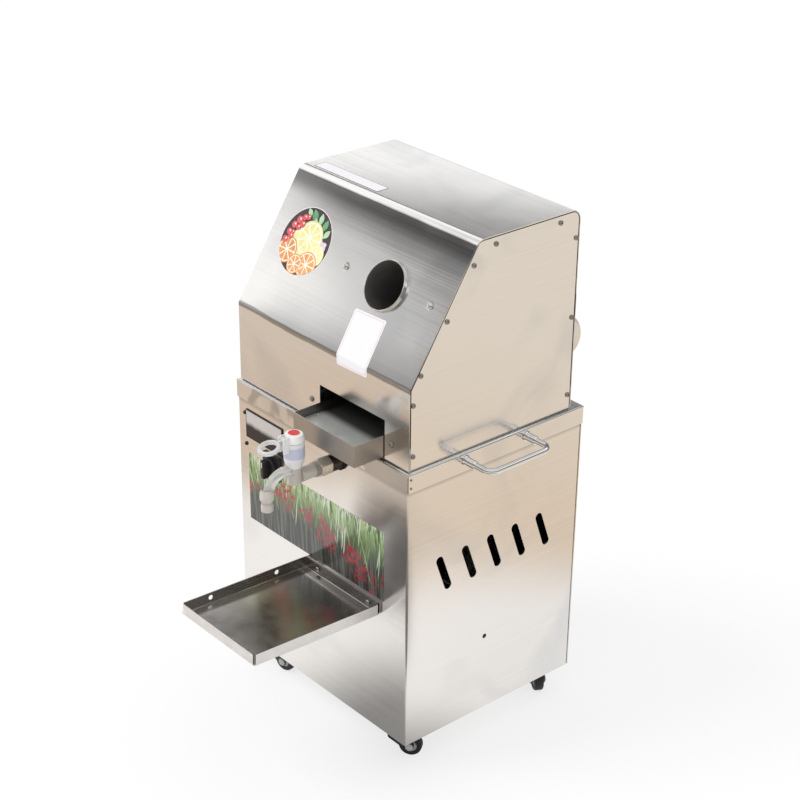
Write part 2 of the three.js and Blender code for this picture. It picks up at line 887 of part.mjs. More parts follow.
const spoutEnd = new THREE.Vector3(tapCentre, -tapStandOut - spoutReach, tapHeight - spoutDrop);
function spoutPath() {
  const start = new THREE.Vector3(tapCentre, -tapStandOut, tapHeight + spoutRise);
  const guide = (reach, rise) => new THREE.Vector3(tapCentre, start.y - reach * spoutReach, start.z + rise);
  const curve = new THREE.CatmullRomCurve3([
    start,
    guide(0.42, spoutRise / 3),
    guide(0.75, -spoutRise / 4),
    guide(0.92, -spoutRise - spoutRadius / 2),
    new THREE.Vector3(tapCentre, spoutEnd.y, tapHeight - spoutDrop / 3),
    spoutEnd,
  ]);
  return curve.getSpacedPoints(spoutSteps);
}

const leverPivot = { x: tapCentre, y: -tapStandOut - tapBody - leverHalf, z: tapTop + leverAbove };

function tapEar(side) {
  const x = around(tapCentre + side * (leverHalf + seat + earSheet / 2), earSheet);
  const ear = new THREE.Shape(points2([
    [leverPivot.y + leverHub, tapTop - earDrop],
    [leverPivot.y + 2 * leverHub, tapTop - earDrop],
    [leverPivot.y + 2 * leverHub, tapTop - seat],
    [leverPivot.y + leverHub - seat, tapTop - seat],
    [leverPivot.y + leverRod, leverPivot.z + leverHub],
    [leverPivot.y - leverRod, leverPivot.z + leverHub],
    [leverPivot.y - leverHub, leverPivot.z],
  ]));
  return extrudeX(ear, x);
}

piece('tap_body', cut(
  join(
    turned('z', [
      [0, tapBottom],
      [tapPipe - tapFoot, tapBottom],
      [tapPipe, tapBottom + tapFootHeight],
      [tapPipe, tapBottom + tapNeckHeight],
      [tapPipe + tapFoot, tapBottom + (tapNeckHeight + tapFlareHeight) / 2],
      [tapBody - seat, tapBottom + tapFlareHeight],
      [tapBody, tapBottom + tapFlareHeight + 2 * tapFootHeight],
      [tapBody, tapTop],
      [0, tapTop],
    ], tapAxis, medium),
    rod('y', tapPipe, -tapStandOut, tankFront + 2 * through, { x: tapCentre, z: tapHeight }, medium),
    sweptRod(spoutRadius, spoutPath(), coarse),
    turned('z', [
      [0, -2 * tapFootHeight],
      [spoutRadius + root, -2 * tapFootHeight],
      [spoutRadius + tapFootHeight, -tapFootHeight],
      [spoutRadius + tapFootHeight, spoutRadius],
      [0, spoutRadius + 2 * tapFootHeight],
    ], { x: tapCentre, y: spoutEnd.y, z: spoutEnd.z + spoutCollarHeight }, medium),
    turned('z', [
      [0, 0],
      [spoutRadius + spoutLip, 0],
      [spoutRadius + spoutLip, spoutRadius],
      [0, spoutRadius + tapFootHeight],
    ], spoutEnd, medium),
    tapEar(1),
    tapEar(-1),
    rod('x', leverPin, -leverHalf - root, leverHalf + root, leverPivot, coarse),
  ),
  rod('z', spoutRadius - spoutWall, -root, through, spoutEnd, medium),
), ...clearPlastic);

piece('tap_cap', turned('z', [
  [0, seat],
  [tapBody - seat, seat],
  [tapBody - seat, tapCapHeight / 2],
  [tapBody - capRound, tapCapHeight - capRound],
  [capDisc + root / 2, tapCapHeight - root],
  [capDisc, tapCapHeight],
  [0, tapCapHeight],
], { ...tapAxis, z: tapTop }, medium), ...whitePlastic);

function tapLever() {
  const hoop = new THREE.TorusGeometry(leverRing, leverRod, hexagon, rodSides);
  hoop.translate(0, -leverReach, 0);
  const arm = new THREE.BoxGeometry(2 * leverRod, leverReach - leverRing, leverRod);
  arm.translate(0, -(leverReach - leverRing) / 2, 0);
  for (const geometry of [hoop, arm]) {
    geometry.rotateX(leverTilt);
    geometry.translate(leverPivot.x, leverPivot.y, leverPivot.z);
  }
  return cut(
    join(solid(hoop), solid(arm), rod('x', leverHub, -leverHalf, leverHalf, leverPivot, coarse)),
    rod('x', leverPin + running, -leverHalf - root, leverHalf + root, leverPivot, coarse),
  );
}

piece('tap_lever', tapLever(), ...clearPlastic);

// Juice tray: four walls about a floor that falls to its drain at the back

function juiceTray() {
  const x = around(millCentre, trayWidth);
  const y = [trayFront, trayFront + trayLength];
  const floorFront = trayTop - trayLipDepth;
  const floorSection = new THREE.Shape(points2([
    [y[0] + traySheet / 2, floorFront - traySheet],
    [y[1] - traySheet / 2, floorFront - trayFall - traySheet],
    [y[1] - traySheet / 2, floorFront - trayFall],
    [y[0] + traySheet / 2, floorFront],
  ]));
  return cut(
    join(
      cut(
        box(x, y, [trayBottom, trayTop]),
        box(inset(x, traySheet), inset(y, traySheet), [trayBottom - through, trayTop + through]),
      ),
      extrudeX(floorSection, inset(x, traySheet / 2)),
    ),
    ...cornerNotches(x, [y[0]], [trayBottom - through, trayTop - trayLipDepth - 2 * traySheet]),
    rod('z', trayDrain, trayBottom - through, trayTop, { x: millCentre, y: wellBack + trayDrain }, medium),
  );
}

piece('juice_tray', juiceTray(), ...stainless);

// Bar under each edge of the tray, with a lip that guides it
function trayRunner(side) {
  const inner = trayWidth / 2 - runnerWidth + hoodSheet + seat;
  const outer = trayWidth / 2 + seat + hoodSheet;
  const section = new THREE.Shape(points2([
    [inner, baseFloor],
    [outer, baseFloor],
    [outer, baseFloor + runnerLip],
    [outer - hoodSheet, baseFloor + runnerLip],
    [outer - hoodSheet, baseFloor + runnerHeight],
    [inner, baseFloor + runnerHeight],
  ].map(([x, z]) => [millCentre + side * x, z])));
  const front = baseY[0] + baseLedge + seat;
  return extrudeY(section, [front, trayFront + trayLength - trayWidth / 4]);
}

piece('tray_runner_right', trayRunner(1), ...darkSteel);
piece('tray_runner_left', trayRunner(-1), ...darkSteel);

// Mill

const millLeft = [millCentre - millInside / 2 - millPlateThickness, millCentre - millInside / 2];
const millRight = [millCentre + millInside / 2, millCentre + millInside / 2 + millPlateThickness];
const topHousing = topJournal + running + bushWall;
const lowHousing = lowJournal + running + bushWall;
const tieZ = cabinetHeight + tieHeight;
const ties = [millBack - tieInset, millBack + tieInset];

// Radii at the plate's corners, in the order of its outline
const plateFoot = 2 * tieRadius;
const headRounds = Array(4).fill(topHousing);
const plateRounds = [0, tieRadius, plateFoot, ...headRounds, plateFoot, tieRadius, 0];

function millPlate(x) {
  const front = baseY[0] + baseSheet + seat;
  const back = baseY[1] - baseSheet - seat;
  const head = topAxis.z + topHousing + 2 * millPlateThickness;
  const outline = bentPath(points2([
    [millBack, millFloor],
    [back, millFloor],
    [back, baseTop + seat],
    [ties[1] + plateMargin * tieRadius, tieZ],
    [rearAxis.y + plateMargin * lowHousing, rearAxis.z],
    [millBack + plateMargin * topHousing, head],
    [millBack - plateMargin * topHousing, head],
    [frontAxis.y - plateMargin * lowHousing, frontAxis.z],
    [ties[0] - plateMargin * tieRadius, tieZ],
    [front, baseTop + seat],
    [front, millFloor],
    [millBack, millFloor],
  ]), plateRounds);
  outline.pop();
  const bore = (radius, axis) => rod('x', radius + seat, x[0] - through, x[1] + through, axis, medium);
  return cut(
    extrudeX(new THREE.Shape(outline), x),
    bore(topHousing, topAxis),
    bore(lowHousing, frontAxis),
    bore(lowHousing, rearAxis),
  );
}

piece('mill_plate_left', millPlate(millLeft), ...darkSteel);
piece('mill_plate_right', millPlate(millRight), ...darkSteel);

const tieSpan = [millLeft[1] + seat, millRight[0] - seat];
piece('mill_tie_front', rod('x', tieRadius, ...tieSpan, { y: ties[0], z: tieZ }, coarse), ...darkSteel);
piece('mill_tie_rear', rod('x', tieRadius, ...tieSpan, { y: ties[1], z: tieZ }, coarse), ...darkSteel);

// Flanged bush, pushed in from the inner side of its plate
function bush(plate, journal, axis) {
  const bore = journal + running;
  const flange = bore + bushWall + bushFlange;
  const inward = plate === millLeft ? 1 : -1;
  const face = inward > 0 ? plate[1] : plate[0];
  const ends = [-millPlateThickness, seat, seat + bushFlangeThickness].map((out) => face + inward * out);
  const profile = [
    [bore, ends[0]],
    [bore + bushWall, ends[0]],
    [bore + bushWall, ends[1]],
    [flange, ends[1]],
    [flange, ends[2]],
    [bore, ends[2]],
    [bore, ends[0]],
  ];
  return turned('x', inward > 0 ? profile : profile.reverse(), axis, medium);
}

for (const [side, plate] of [['left', millLeft], ['right', millRight]]) {
  piece(`top_bush_${side}`, bush(plate, topJournal, topAxis), ...bronze);
  piece(`front_bush_${side}`, bush(plate, lowJournal, frontAxis), ...bronze);
  piece(`rear_bush_${side}`, bush(plate, lowJournal, rearAxis), ...bronze);
}

// Roller: fluted drum, a shoulder at each end, and journals through both plates
function roller(radius, flutes, journal, axis, leftEnd) {
  const outline = [];
  const step = 2 * Math.PI / flutes;
  const mark = (place, reach) => outline.push(
    new THREE.Vector2(reach, 0).rotateAround(new THREE.Vector2(), place * step),
  );
  for (let i = 0; i < flutes; i += 1) {
    mark(i, radius);
    mark(i + 0.5, radius);
    mark(i + 0.75, radius - fluteDepth);
  }
  const bar = extrudeX(new THREE.Shape(outline), around(millCentre, rollerLength));
  const drum = bar.translate([0, axis.y, axis.z]);
  const shoulderEnds = around(millCentre, rollerLength + 2 * rollerShoulder);
  return join(
    drum,
    rod('x', journal + bushWall, ...shoulderEnds, axis, medium),
    rod('x', journal, leftEnd, millRight[1] + rollerShoulder, axis, medium),
  );
}

const gearX = [millLeft[0] - bushFlangeThickness - gearWidth, millLeft[0] - bushFlangeThickness];
const lowShaftEnd = gearX[0] - shaftEnd;
const couplingX = [gearX[0] - bushFlangeThickness - couplingLength, gearX[0] - bushFlangeThickness];
const topShaftEnd = couplingX[0] + couplingLength / 2;
piece('top_roller', roller(topRollerRadius, topFlutes, topJournal, topAxis, topShaftEnd), ...stainless);
piece('front_roller', roller(lowRollerRadius, lowFlutes, lowJournal, frontAxis, lowShaftEnd), ...stainless);
piece('rear_roller', roller(lowRollerRadius, lowFlutes, lowJournal, rearAxis, lowShaftEnd), ...stainless);

// Involute spur gear, with the middle of a tooth at the angle that is given
function gear(teeth, phase, journal, axis) {
  const pitch = gearModule * teeth / 2;
  const base = pitch * Math.cos(pressureAngle);
  const tip = pitch + gearModule;
  const valley = pitch - 1.25 * gearModule;
  const involute = (angle) => Math.tan(angle) - angle;
  const halfAtPitch = (Math.PI / 2 * gearModule - toothBacklash / 2) / (2 * pitch);
  const halfTooth = (radius) => {
    const flank = Math.acos(Math.min(base / radius, 1));
    return halfAtPitch + involute(pressureAngle) - involute(flank);
  };
  const flanks = [[valley, halfTooth(base)], [pitch, halfTooth(pitch)], [tip, halfTooth(tip)]];
  const outline = [];
  for (let i = 0; i < teeth; i += 1) {
    const middle = phase + 2 * Math.PI * i / teeth;
    const mark = (radius, angle) => outline.push(
      new THREE.Vector2(radius * Math.cos(middle + angle), radius * Math.sin(middle + angle)),
    );
    flanks.forEach(([radius, half]) => mark(radius, -half));
    [...flanks].reverse().forEach(([radius, half]) => mark(radius, half));
  }
  return extrudeX(new THREE.Shape(outline), gearX)
    .translate([0, axis.y, axis.z])
    .subtract(rod('x', journal + seat, gearX[0] - through, gearX[1] + through, axis, medium));
}

const toFront = Math.atan2(frontAxis.z - topAxis.z, frontAxis.y - topAxis.y);
const toRear = Math.atan2(rearAxis.z - topAxis.z, rearAxis.y - topAxis.y);
const topStep = 2 * Math.PI / topTeeth;
const past = (toRear - toFront) % topStep;
const lowHalfStep = Math.PI / lowTeeth;
piece('top_gear', gear(topTeeth, toFront, topJournal, topAxis), ...darkSteel);
piece('front_gear', gear(lowTeeth, toFront + Math.PI + lowHalfStep, lowJournal, frontAxis), ...darkSteel);
piece('rear_gear', gear(
  lowTeeth,
  toRear + Math.PI + lowHalfStep + past * topTeeth / lowTeeth,
  lowJournal,
  rearAxis,
), ...darkSteel);

// Drive: a worm gearbox on a bracket, with the motor hanging from it

piece('drive_coupling', cut(
  join(
    rod('x', couplingRadius, ...couplingX, topAxis, medium),
    rod('x', outputRadius, couplingX[0] - gearboxWidth / 2, couplingX[0] + root, topAxis, medium),
  ),
  rod('x', topJournal + seat, topShaftEnd - seat, couplingX[1] + through, topAxis, medium),
), ...darkSteel);

const bracketX = [couplingX[0] - running - bracketSheet, couplingX[0] - running];
const gearboxX = [bracketX[0] - seat - gearboxWidth, bracketX[0] - seat];
const motorAxis = { x: (gearboxX[0] + gearboxX[1]) / 2, y: millBack + wormOffset };
const gearboxZ = [topAxis.z - gearboxHalf, topAxis.z + gearboxHalf];
const bracketY = [millBack - bracketFront, millBack - bracketFront + bracketDepth];
const bracketSection = sheetSection(points2([
  [bracketX[1], gearboxZ[1]],
  [bracketX[1], baseFloor],
  [gearboxX[0], baseFloor],
]), [2 * bracketSheet], -bracketSheet);
piece('motor_bracket', extrudeY(bracketSection, bracketY).subtract(
  rod('x', outputRadius + bracketHole, bracketX[0] - through, bracketX[1] + through, topAxis, medium),
), ...darkSteel);

function gearbox() {
  const back = motorAxis.y + motorRadius + gearboxWall;
  const front = millBack - gearboxFront;
  const plan = bentPath(points2([
    [millBack, gearboxZ[0]],
    [back, gearboxZ[0]],
    [back, gearboxZ[1] - gearboxShoulder],
    [motorAxis.y + gearboxShoulderIn, gearboxZ[1]],
    [front, gearboxZ[1]],
    [front, gearboxZ[0]],
    [millBack, gearboxZ[0]],
  ]), [gearboxCorner, gearboxCorner, gearboxCorner, gearboxNose, gearboxNose]);
  plan.pop();
  const ribs = [];
  const ribPitch = (gearboxWidth - 2 * gearboxRibInset) / (gearboxRibs - 1);
  for (let i = 0; i < gearboxRibs; i += 1) {
    const x = around(gearboxX[0] + gearboxRibInset + i * ribPitch, gearboxRib);
    ribs.push(box(x, [back - root, back + gearboxRibOut], inset(gearboxZ, gearboxRibEnd)));
  }
  return cut(
    join(
      extrudeX(new THREE.Shape(plan), gearboxX),
      rod('x', gearboxNose, gearboxX[0] - gearboxNoseOut, gearboxX[0] + root, topAxis, medium),
      ...ribs,
    ),
    rod('x', outputRadius + running, motorAxis.x - gearboxRib, gearboxX[1] + through, topAxis, medium),
  );
}

piece('gearbox', gearbox(), ...castMetal);

// Finned motor with a plain cap at its lower end
function motor() {
  const outline = [];
  const step = 2 * Math.PI / motorFins;
  const mark = (place, radius) => outline.push(
    new THREE.Vector2(radius, 0).rotateAround(new THREE.Vector2(), place * step),
  );
  for (let i = 0; i < motorFins; i += 1) {
    mark(i, motorRadius - motorFinDepth);
    mark(i + 0.5, motorRadius - motorFinDepth);
    mark(i + 0.55, motorRadius);
    mark(i + 0.95, motorRadius);
  }
  const top = gearboxZ[0] - seat;
  const bottom = top - motorLength;
  const capTop = bottom + motorCap;
  const capRadius = motorRadius - motorFinDepth / 2;
  const at = { ...motorAxis, z: 0 };
  const fins = extrudeZ(new THREE.Shape(outline), [capTop - root, top - motorFlange + root]);
  return join(
    fins.translate([motorAxis.x, motorAxis.y, 0]),
    rod('z', motorRadius, top - motorFlange, top, at, medium),
    turned('z', [
      [0, bottom],
      [capRadius - motorCapRound, bottom],
      [capRadius, bottom + motorCapRound],
      [capRadius, capTop],
      [0, capTop],
    ], at, medium),
  );
}

piece('motor', motor(), 0x3b3f45, 0.5, 0.6);

// Juice tank, hung under the lid by its rim

function juiceTank() {
  const x = around(millCentre - tankSheet, tankWidth);
  const y = [tankFront, tankFront + tankLength];
  const z = [tankBottom, tankTop];
  const rimX = inset(x, -tankRim);
  const rimY = inset(y, -tankRim);
  const rim = cut(
    box(rimX, rimY, [z[1] - tankSheet, z[1]]),
    box(inset(x, tankSheet), inset(y, tankSheet), [z[1] - 2 * through, z[1] + through]),
  );
  return cut(
    join(pan(x, y, z, tankSheet, sheetBend), rim),
    rod('y', tapPipe + seat, ...around(tankFront, 2 * through), { x: tapCentre, z: tapHeight }, medium),
  );
}

piece('juice_tank', juiceTank(), ...stainless);

// Battery with its lid ledge and two terminals
const batteryFloor = floorTop + seat;
const batteryTop = batteryFloor + batteryTall;
const terminals = [-1, 1].map((side) => box(
  around(batteryCentre + side * (batteryLength / 2 - terminalInset), terminalSize),
  around(batteryBack - batteryDepth / 4, terminalSize),
  [batteryTop - root, batteryTop + terminalHeight],
));
piece('battery_pack', join(
  foldedBlock(
    around(batteryCentre, batteryLength - batteryLedge),
    around(batteryBack, batteryDepth - batteryLedge),
    [batteryFloor, batteryTop - batteryLid + root],
    batteryLedge,
    false,
  ),
  foldedBlock(
    around(batteryCentre, batteryLength),
    around(batteryBack, batteryDepth),
    [batteryTop - batteryLid, batteryTop],
    batteryLedge,
    true,
  ),
  ...terminals,
), 0x2b2e33, 0.55, 0);

// Three-pin power inlet in the back
const inletX = around(inletCentre, inletWidth - 4 * meterRim);
const inletZ = around(inletHeight, inletTall - meterRim);
const inletFlange = [cabinetDepth + seat, cabinetDepth + seat + meterRim];
piece('power_inlet', cut(
  join(
    box(around(inletCentre, inletWidth), inletFlange, around(inletHeight, inletTall)),
    box(inletX, [cabinetDepth - meterBodyDepth, inletFlange[0] + root], inletZ),
  ),
  box(inset(inletX, meterRim), [cabinetDepth - inletDepth, inletFlange[1] + root], inset(inletZ, meterRim)),
), ...blackPlastic);

// Castors: a plate with its pin, a fork that swivels on it, and a wheel

const castorPlateTop = floorRise - seat;
const castorPlateUnder = castorPlateTop - castorPlateThickness;
const headTop = castorPlateUnder - running;
const crownTop = headTop - headHeight;
const wheelAxis = -castorDrop + castorWheel;
const forkInside = castorWheelWidth / 2 + wheelSpace;
const pinUnder = crownTop - forkSheet - running - pinHeadHeight;

function castorPlate() {
  return join(
    box(around(0, castorPlateLength), around(0, castorPlateWidth), [castorPlateUnder, castorPlateTop]),
    rod('z', castorPin, pinUnder, castorPlateTop - root, {}, coarse),
    rod('z', pinHead, pinUnder, pinUnder + pinHeadHeight, {}, coarse),
  );
}

// The wheel trails towards +X of the castor's own frame, and its axle lies along Y
function castorFork() {
  const cheek = new THREE.Shape(points2([
    [-crown, crownTop],
    [crown, crownTop],
    [castorTrail + forkEnd, wheelAxis + forkEnd / 2],
    [castorTrail + forkEnd / 2, wheelAxis - forkEnd],
    [castorTrail - forkEnd, wheelAxis - forkEnd / 2],
    [-crown, crownTop - headHeight],
  ]));
  const cheeks = [forkInside, -forkInside - forkSheet].map((y) => extrudeY(cheek, [y, y + forkSheet]));
  const width = forkInside + forkSheet;
  return join(
    cut(
      join(
        rod('z', crown - root, crownTop - root, headTop, {}, coarse),
        box([-crown, crown], [-width, width], [crownTop - forkSheet, crownTop]),
      ),
      rod('z', castorPin + running, crownTop - 2 * through, headTop + through, {}, coarse),
    ),
    ...cheeks,
    rod('y', castorAxle, -width - axleEnd, width + axleEnd, { x: castorTrail, z: wheelAxis }, coarse),
  );
}

function castorWheelBody() {
  const half = castorWheelWidth / 2;
  const bore = castorAxle + running;
  return turned('y', [
    [bore, -half],
    [castorWheel - treadRound, -half],
    [castorWheel, -half + treadRound],
    [castorWheel, half - treadRound],
    [castorWheel - treadRound, half],
    [bore, half],
    [bore, -half],
  ], { x: castorTrail, z: wheelAxis }, medium);
}

const castors = [
  ['front_right', castorSide, castorFront, 35],
  ['front_left', -castorSide, castorFront, 10],
  ['rear_right', castorSide, castorRear, -30],
  ['rear_left', -castorSide, castorRear, -24],
];
for (const [place, x, y, heading] of castors) {
  const fixed = new THREE.Group();
  fixed.position.set(x, y, 0);
  const swivel = new THREE.Group();
  swivel.rotation.z = THREE.MathUtils.degToRad(heading);
  fixed.add(swivel);
  juicer.add(fixed);
  piece(`castor_plate_${place}`, castorPlate(), ...darkSteel, fixed);
  piece(`castor_fork_${place}`, castorFork(), 0x1d1d1f, 0.45, 0.3, swivel);
  piece(`castor_wheel_${place}`, castorWheelBody(), ...blackRubber, swivel);
}

// The origin of the finished part: the middle of its footprint, on the floor
const group = new THREE.Group();
group.add(juicer);
const bounds = new THREE.Box3().setFromObject(group, true);
juicer.position.set(-(bounds.min.x + bounds.max.x) / 2, -(bounds.min.y + bounds.max.y) / 2, -bounds.min.z);

export default group;
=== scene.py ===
import math

import bmesh
import bpy
from mathutils import Matrix, Vector


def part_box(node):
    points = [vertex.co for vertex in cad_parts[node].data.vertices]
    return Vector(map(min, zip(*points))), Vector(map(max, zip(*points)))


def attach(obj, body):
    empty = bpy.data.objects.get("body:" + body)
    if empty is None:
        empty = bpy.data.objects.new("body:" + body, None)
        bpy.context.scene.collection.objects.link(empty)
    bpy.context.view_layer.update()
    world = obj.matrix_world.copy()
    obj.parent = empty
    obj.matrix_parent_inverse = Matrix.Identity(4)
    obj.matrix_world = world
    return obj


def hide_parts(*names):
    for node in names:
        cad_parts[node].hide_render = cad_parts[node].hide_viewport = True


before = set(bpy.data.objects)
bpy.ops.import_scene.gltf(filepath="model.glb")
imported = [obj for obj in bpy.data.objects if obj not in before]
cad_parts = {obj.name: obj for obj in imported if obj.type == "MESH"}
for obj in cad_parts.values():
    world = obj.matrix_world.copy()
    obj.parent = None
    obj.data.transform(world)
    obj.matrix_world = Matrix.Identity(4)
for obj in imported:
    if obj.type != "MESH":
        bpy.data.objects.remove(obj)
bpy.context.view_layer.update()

scene = bpy.context.scene
scene.view_settings.view_transform = "Standard"

# Everything is modelled in millimetres from the middle of the cabinet's front bottom edge
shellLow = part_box("cabinet_shell")[0]
zero = Vector((0, shellLow.y, shellLow.z))
toFrame = Matrix.Translation(zero) @ Matrix.Scale(0.001, 4)


def at(x, y, z):
    return toFrame @ Vector((x, y, z))


# Camera

cameraSet = {
    "azimuth": 48.9207,
    "elevation": 27.3783,
    "roll": 0.7751,
    "place": (2045.3, -1593.8, 1821.2),
    "lens": 85.70,
    "shiftX": -0.0150,
    "shiftY": 0.0363,
}


def makeCamera(c):
    a, e = math.radians(c["azimuth"]), math.radians(c["elevation"])
    right = Vector((math.cos(a), math.sin(a), 0))
    back = Vector((math.sin(a) * math.cos(e), -math.cos(a) * math.cos(e), math.sin(e)))
    turn = Matrix((right, back.cross(right), back)).transposed()
    turn = turn @ Matrix.Rotation(math.radians(c["roll"]), 3, "Z")
    camera = bpy.data.objects.new("camera", bpy.data.cameras.new("camera"))
    scene.collection.objects.link(camera)
    camera.matrix_world = Matrix.Translation(at(*c["place"])) @ turn.to_4x4()
    camera.data.lens = c["lens"]
    camera.data.sensor_width = 36
    camera.data.shift_x = c["shiftX"]
    camera.data.shift_y = c["shiftY"]
    camera.data.clip_end = 100
    scene.camera = camera


makeCamera(cameraSet)
print("camera placed")

# Node helpers


def newMaterial(name):
    # The material, its tree and the Object coordinates
    material = bpy.data.materials.new(name)
    material.use_nodes = True
    tree = material.node_tree
    tree.nodes.clear()
    return material, tree, addNode(tree, "ShaderNodeTexCoord").outputs["Object"]


def addNode(tree, kind, inputs=None, **settings):
    node = tree.nodes.new(kind)
    for key, value in settings.items():
        setattr(node, key, value)
    for key, value in (inputs or {}).items():
        if isinstance(value, bpy.types.NodeSocket):
            tree.links.new(value, node.inputs[key])
        else:
            node.inputs[key].default_value = value
    return node


def mathNode(tree, operation, first, second=0.0):
    return addNode(tree, "ShaderNodeMath", {0: first, 1: second}, operation=operation).outputs[0]


def added(tree, first, second):
    return mathNode(tree, "ADD", first, second)


def multiplied(tree, first, second):
    return mathNode(tree, "MULTIPLY", first, second)


def vectorNode(tree, operation, first, second=None, output="Value"):
    inputs = {0: first} if second is None else {0: first, 1: second}
    return addNode(tree, "ShaderNodeVectorMath", inputs, operation=operation).outputs[output]


def axesOf(tree, vector, *indices):
    parts = addNode(tree, "ShaderNodeSeparateXYZ", {0: vector}).outputs
    return [parts[i] for i in indices]


def rangeNode(tree, value, low, high, toLow=0.0, toHigh=1.0, smooth=True):
    node = addNode(tree, "ShaderNodeMapRange", {0: value, 1: low, 2: high, 3: toLow, 4: toHigh})
    node.interpolation_type = "SMOOTHSTEP" if smooth else "LINEAR"
    return node.outputs[0]


def mixColour(tree, factor, first, second, blend="MIX"):
    node = tree.nodes.new("ShaderNodeMix")
    node.data_type = "RGBA"
    node.blend_type = blend
    for key, value in ((0, factor), (6, first), (7, second)):
        if isinstance(value, bpy.types.NodeSocket):
            tree.links.new(value, node.inputs[key])
        else:
            node.inputs[key].default_value = value
    return node.outputs[2]


def tinted(tree, colour, tint, share=1.0):
    # The colour times a tint, where the share says so
    product = mixColour(tree, 1.0, colour, tint, "MULTIPLY")
    return mixColour(tree, share, colour, product)


def rampNode(tree, value, stops):
    node = addNode(tree, "ShaderNodeValToRGB", {0: value})
    ramp = node.color_ramp
    while len(ramp.elements) < len(stops):
        ramp.elements.new(0.5)
    for element, (place, colour) in zip(ramp.elements, stops):
        element.position = place
        element.color = colour if len(colour) == 4 else (*colour, 1)
    return node.outputs[0]


def noiseNode(tree, vector, scale, detail=3.0, roughness=0.5, distortion=0.0):
    node = addNode(tree, "ShaderNodeTexNoise", {
        "Vector": vector, "Scale": scale, "Detail": detail, "Roughness": roughness, "Distortion": distortion,
    })
    return node.outputs[0]


def mapped(tree, vector, scale=(1, 1, 1), turn=(0, 0, 0), move=(0, 0, 0)):
    return addNode(tree, "ShaderNodeMapping", {
        "Vector": vector, "Scale": scale, "Rotation": turn, "Location": move,
    }).outputs[0]


def finished(tree, shader, kind="ShaderNodeOutputMaterial"):
    tree.links.new(shader.outputs[0], addNode(tree, kind).inputs[0])


def surface(tree, inputs):
    finished(tree, addNode(tree, "ShaderNodeBsdfPrincipled", inputs))


def mirroredRays(tree):
    # What the object mirrors or lets through, and what the camera sees
    path = addNode(tree, "ShaderNodeLightPath").outputs
    mirrored = mathNode(tree, "MAXIMUM", path["Is Glossy Ray"], path["Is Transmission Ray"])
    return mirrored, path["Is Camera Ray"]


def grey(level):
    return (level, level, level, 1)


# Stage: white sheet on a warm floor, as the steel mirrors it

stageSet = {
    "size": 24.0,
    "sheetMiddle": (-0.06, -0.05),
    "sheetEdge": 0.64,
    "warmEdge": 0.90,
    "farEdge": 1.9,
    "sheetColour": (1.0, 0.985, 0.97, 1),
    "warmColour": (0.78, 0.65, 0.52, 1),
    "farColour": (0.80, 0.73, 0.64, 1),
    "darkColour": (0.16, 0.13, 0.12, 1),
    "darkLine": ((-0.405, -0.574), (0.571, -0.820)),
    "darkEdge": 0.035,
    "darkNear": (0.46, 0.53),
    "darkFar": (0.80, 0.87),
    "nearShade": (0.15, -0.174),
    "nearEdge": (0.08, 0.33),
    "nearLevel": 0.3,
    "leftWay": (-0.77, -0.64),
    "leftEdge": (0.8, 1.0),
    "leftColour": (0.87, 0.83, 0.81, 1),
    "selfLit": 0.72,
    "matteLevel": 0.97,
}


def makeFloor(s):
    bm = bmesh.new()
    bmesh.ops.create_grid(bm, x_segments=1, y_segments=1, size=s["size"] / 2)
    mesh = bpy.data.meshes.new("stageFloor")
    bm.to_mesh(mesh)
    bm.free()
    floor = bpy.data.objects.new("stageFloor", mesh)
    scene.collection.objects.link(floor)
    material, tree, coords = newMaterial("stageFloor")

    def distanceTo(x, y):
        return vectorNode(tree, "LENGTH", mapped(tree, coords, move=(-x, -y, 0)))

    length = distanceTo(*s["sheetMiddle"])
    near = rangeNode(tree, length, s["sheetEdge"], s["warmEdge"])
    far = rangeNode(tree, length, s["warmEdge"], s["farEdge"])
    warm = mixColour(tree, near, s["sheetColour"], s["warmColour"])
    warm = mixColour(tree, far, warm, s["farColour"])
    origin, across = s["darkLine"]
    fromLine = mapped(tree, coords, move=(-origin[0], -origin[1], 0))
    side = vectorNode(tree, "DOT_PRODUCT", fromLine, (*across, 0))
    fromMiddle = distanceTo(0, 0)
    dark = rangeNode(tree, side, -s["darkEdge"], s["darkEdge"])
    dark = multiplied(tree, dark, rangeNode(tree, fromMiddle, *s["darkNear"]))
    dark = multiplied(tree, dark, rangeNode(tree, fromMiddle, *reversed(s["darkFar"])))
    warm = mixColour(tree, dark, warm, s["darkColour"])
    # Shade under the drip tray, and a duller stretch to the left
    shade = rangeNode(tree, distanceTo(*s["nearShade"]), *s["nearEdge"], 1.0, 0.0)
    warm = tinted(tree, warm, grey(s["nearLevel"]), shade)
    toLeft = vectorNode(tree, "DOT_PRODUCT", coords, (*s["leftWay"], 0))
    warm = tinted(tree, warm, s["leftColour"], rangeNode(tree, toLeft, *s["leftEdge"]))
    mirrored, toCamera = mirroredRays(tree)
    colour = mixColour(tree, mirrored, grey(1.0), warm)
    matte = addNode(tree, "ShaderNodeBsdfDiffuse", {"Color": tinted(tree, colour, grey(s["matteLevel"]))})
    glow = addNode(tree, "ShaderNodeEmission", {"Color": colour, "Strength": 1.0})
    share = multiplied(tree, mathNode(tree, "MAXIMUM", toCamera, mirrored), s["selfLit"])
    finished(tree, addNode(tree, "ShaderNodeMixShader", {0: share, 1: matte.outputs[0], 2: glow.outputs[0]}))
    mesh.materials.append(material)


makeFloor(stageSet)

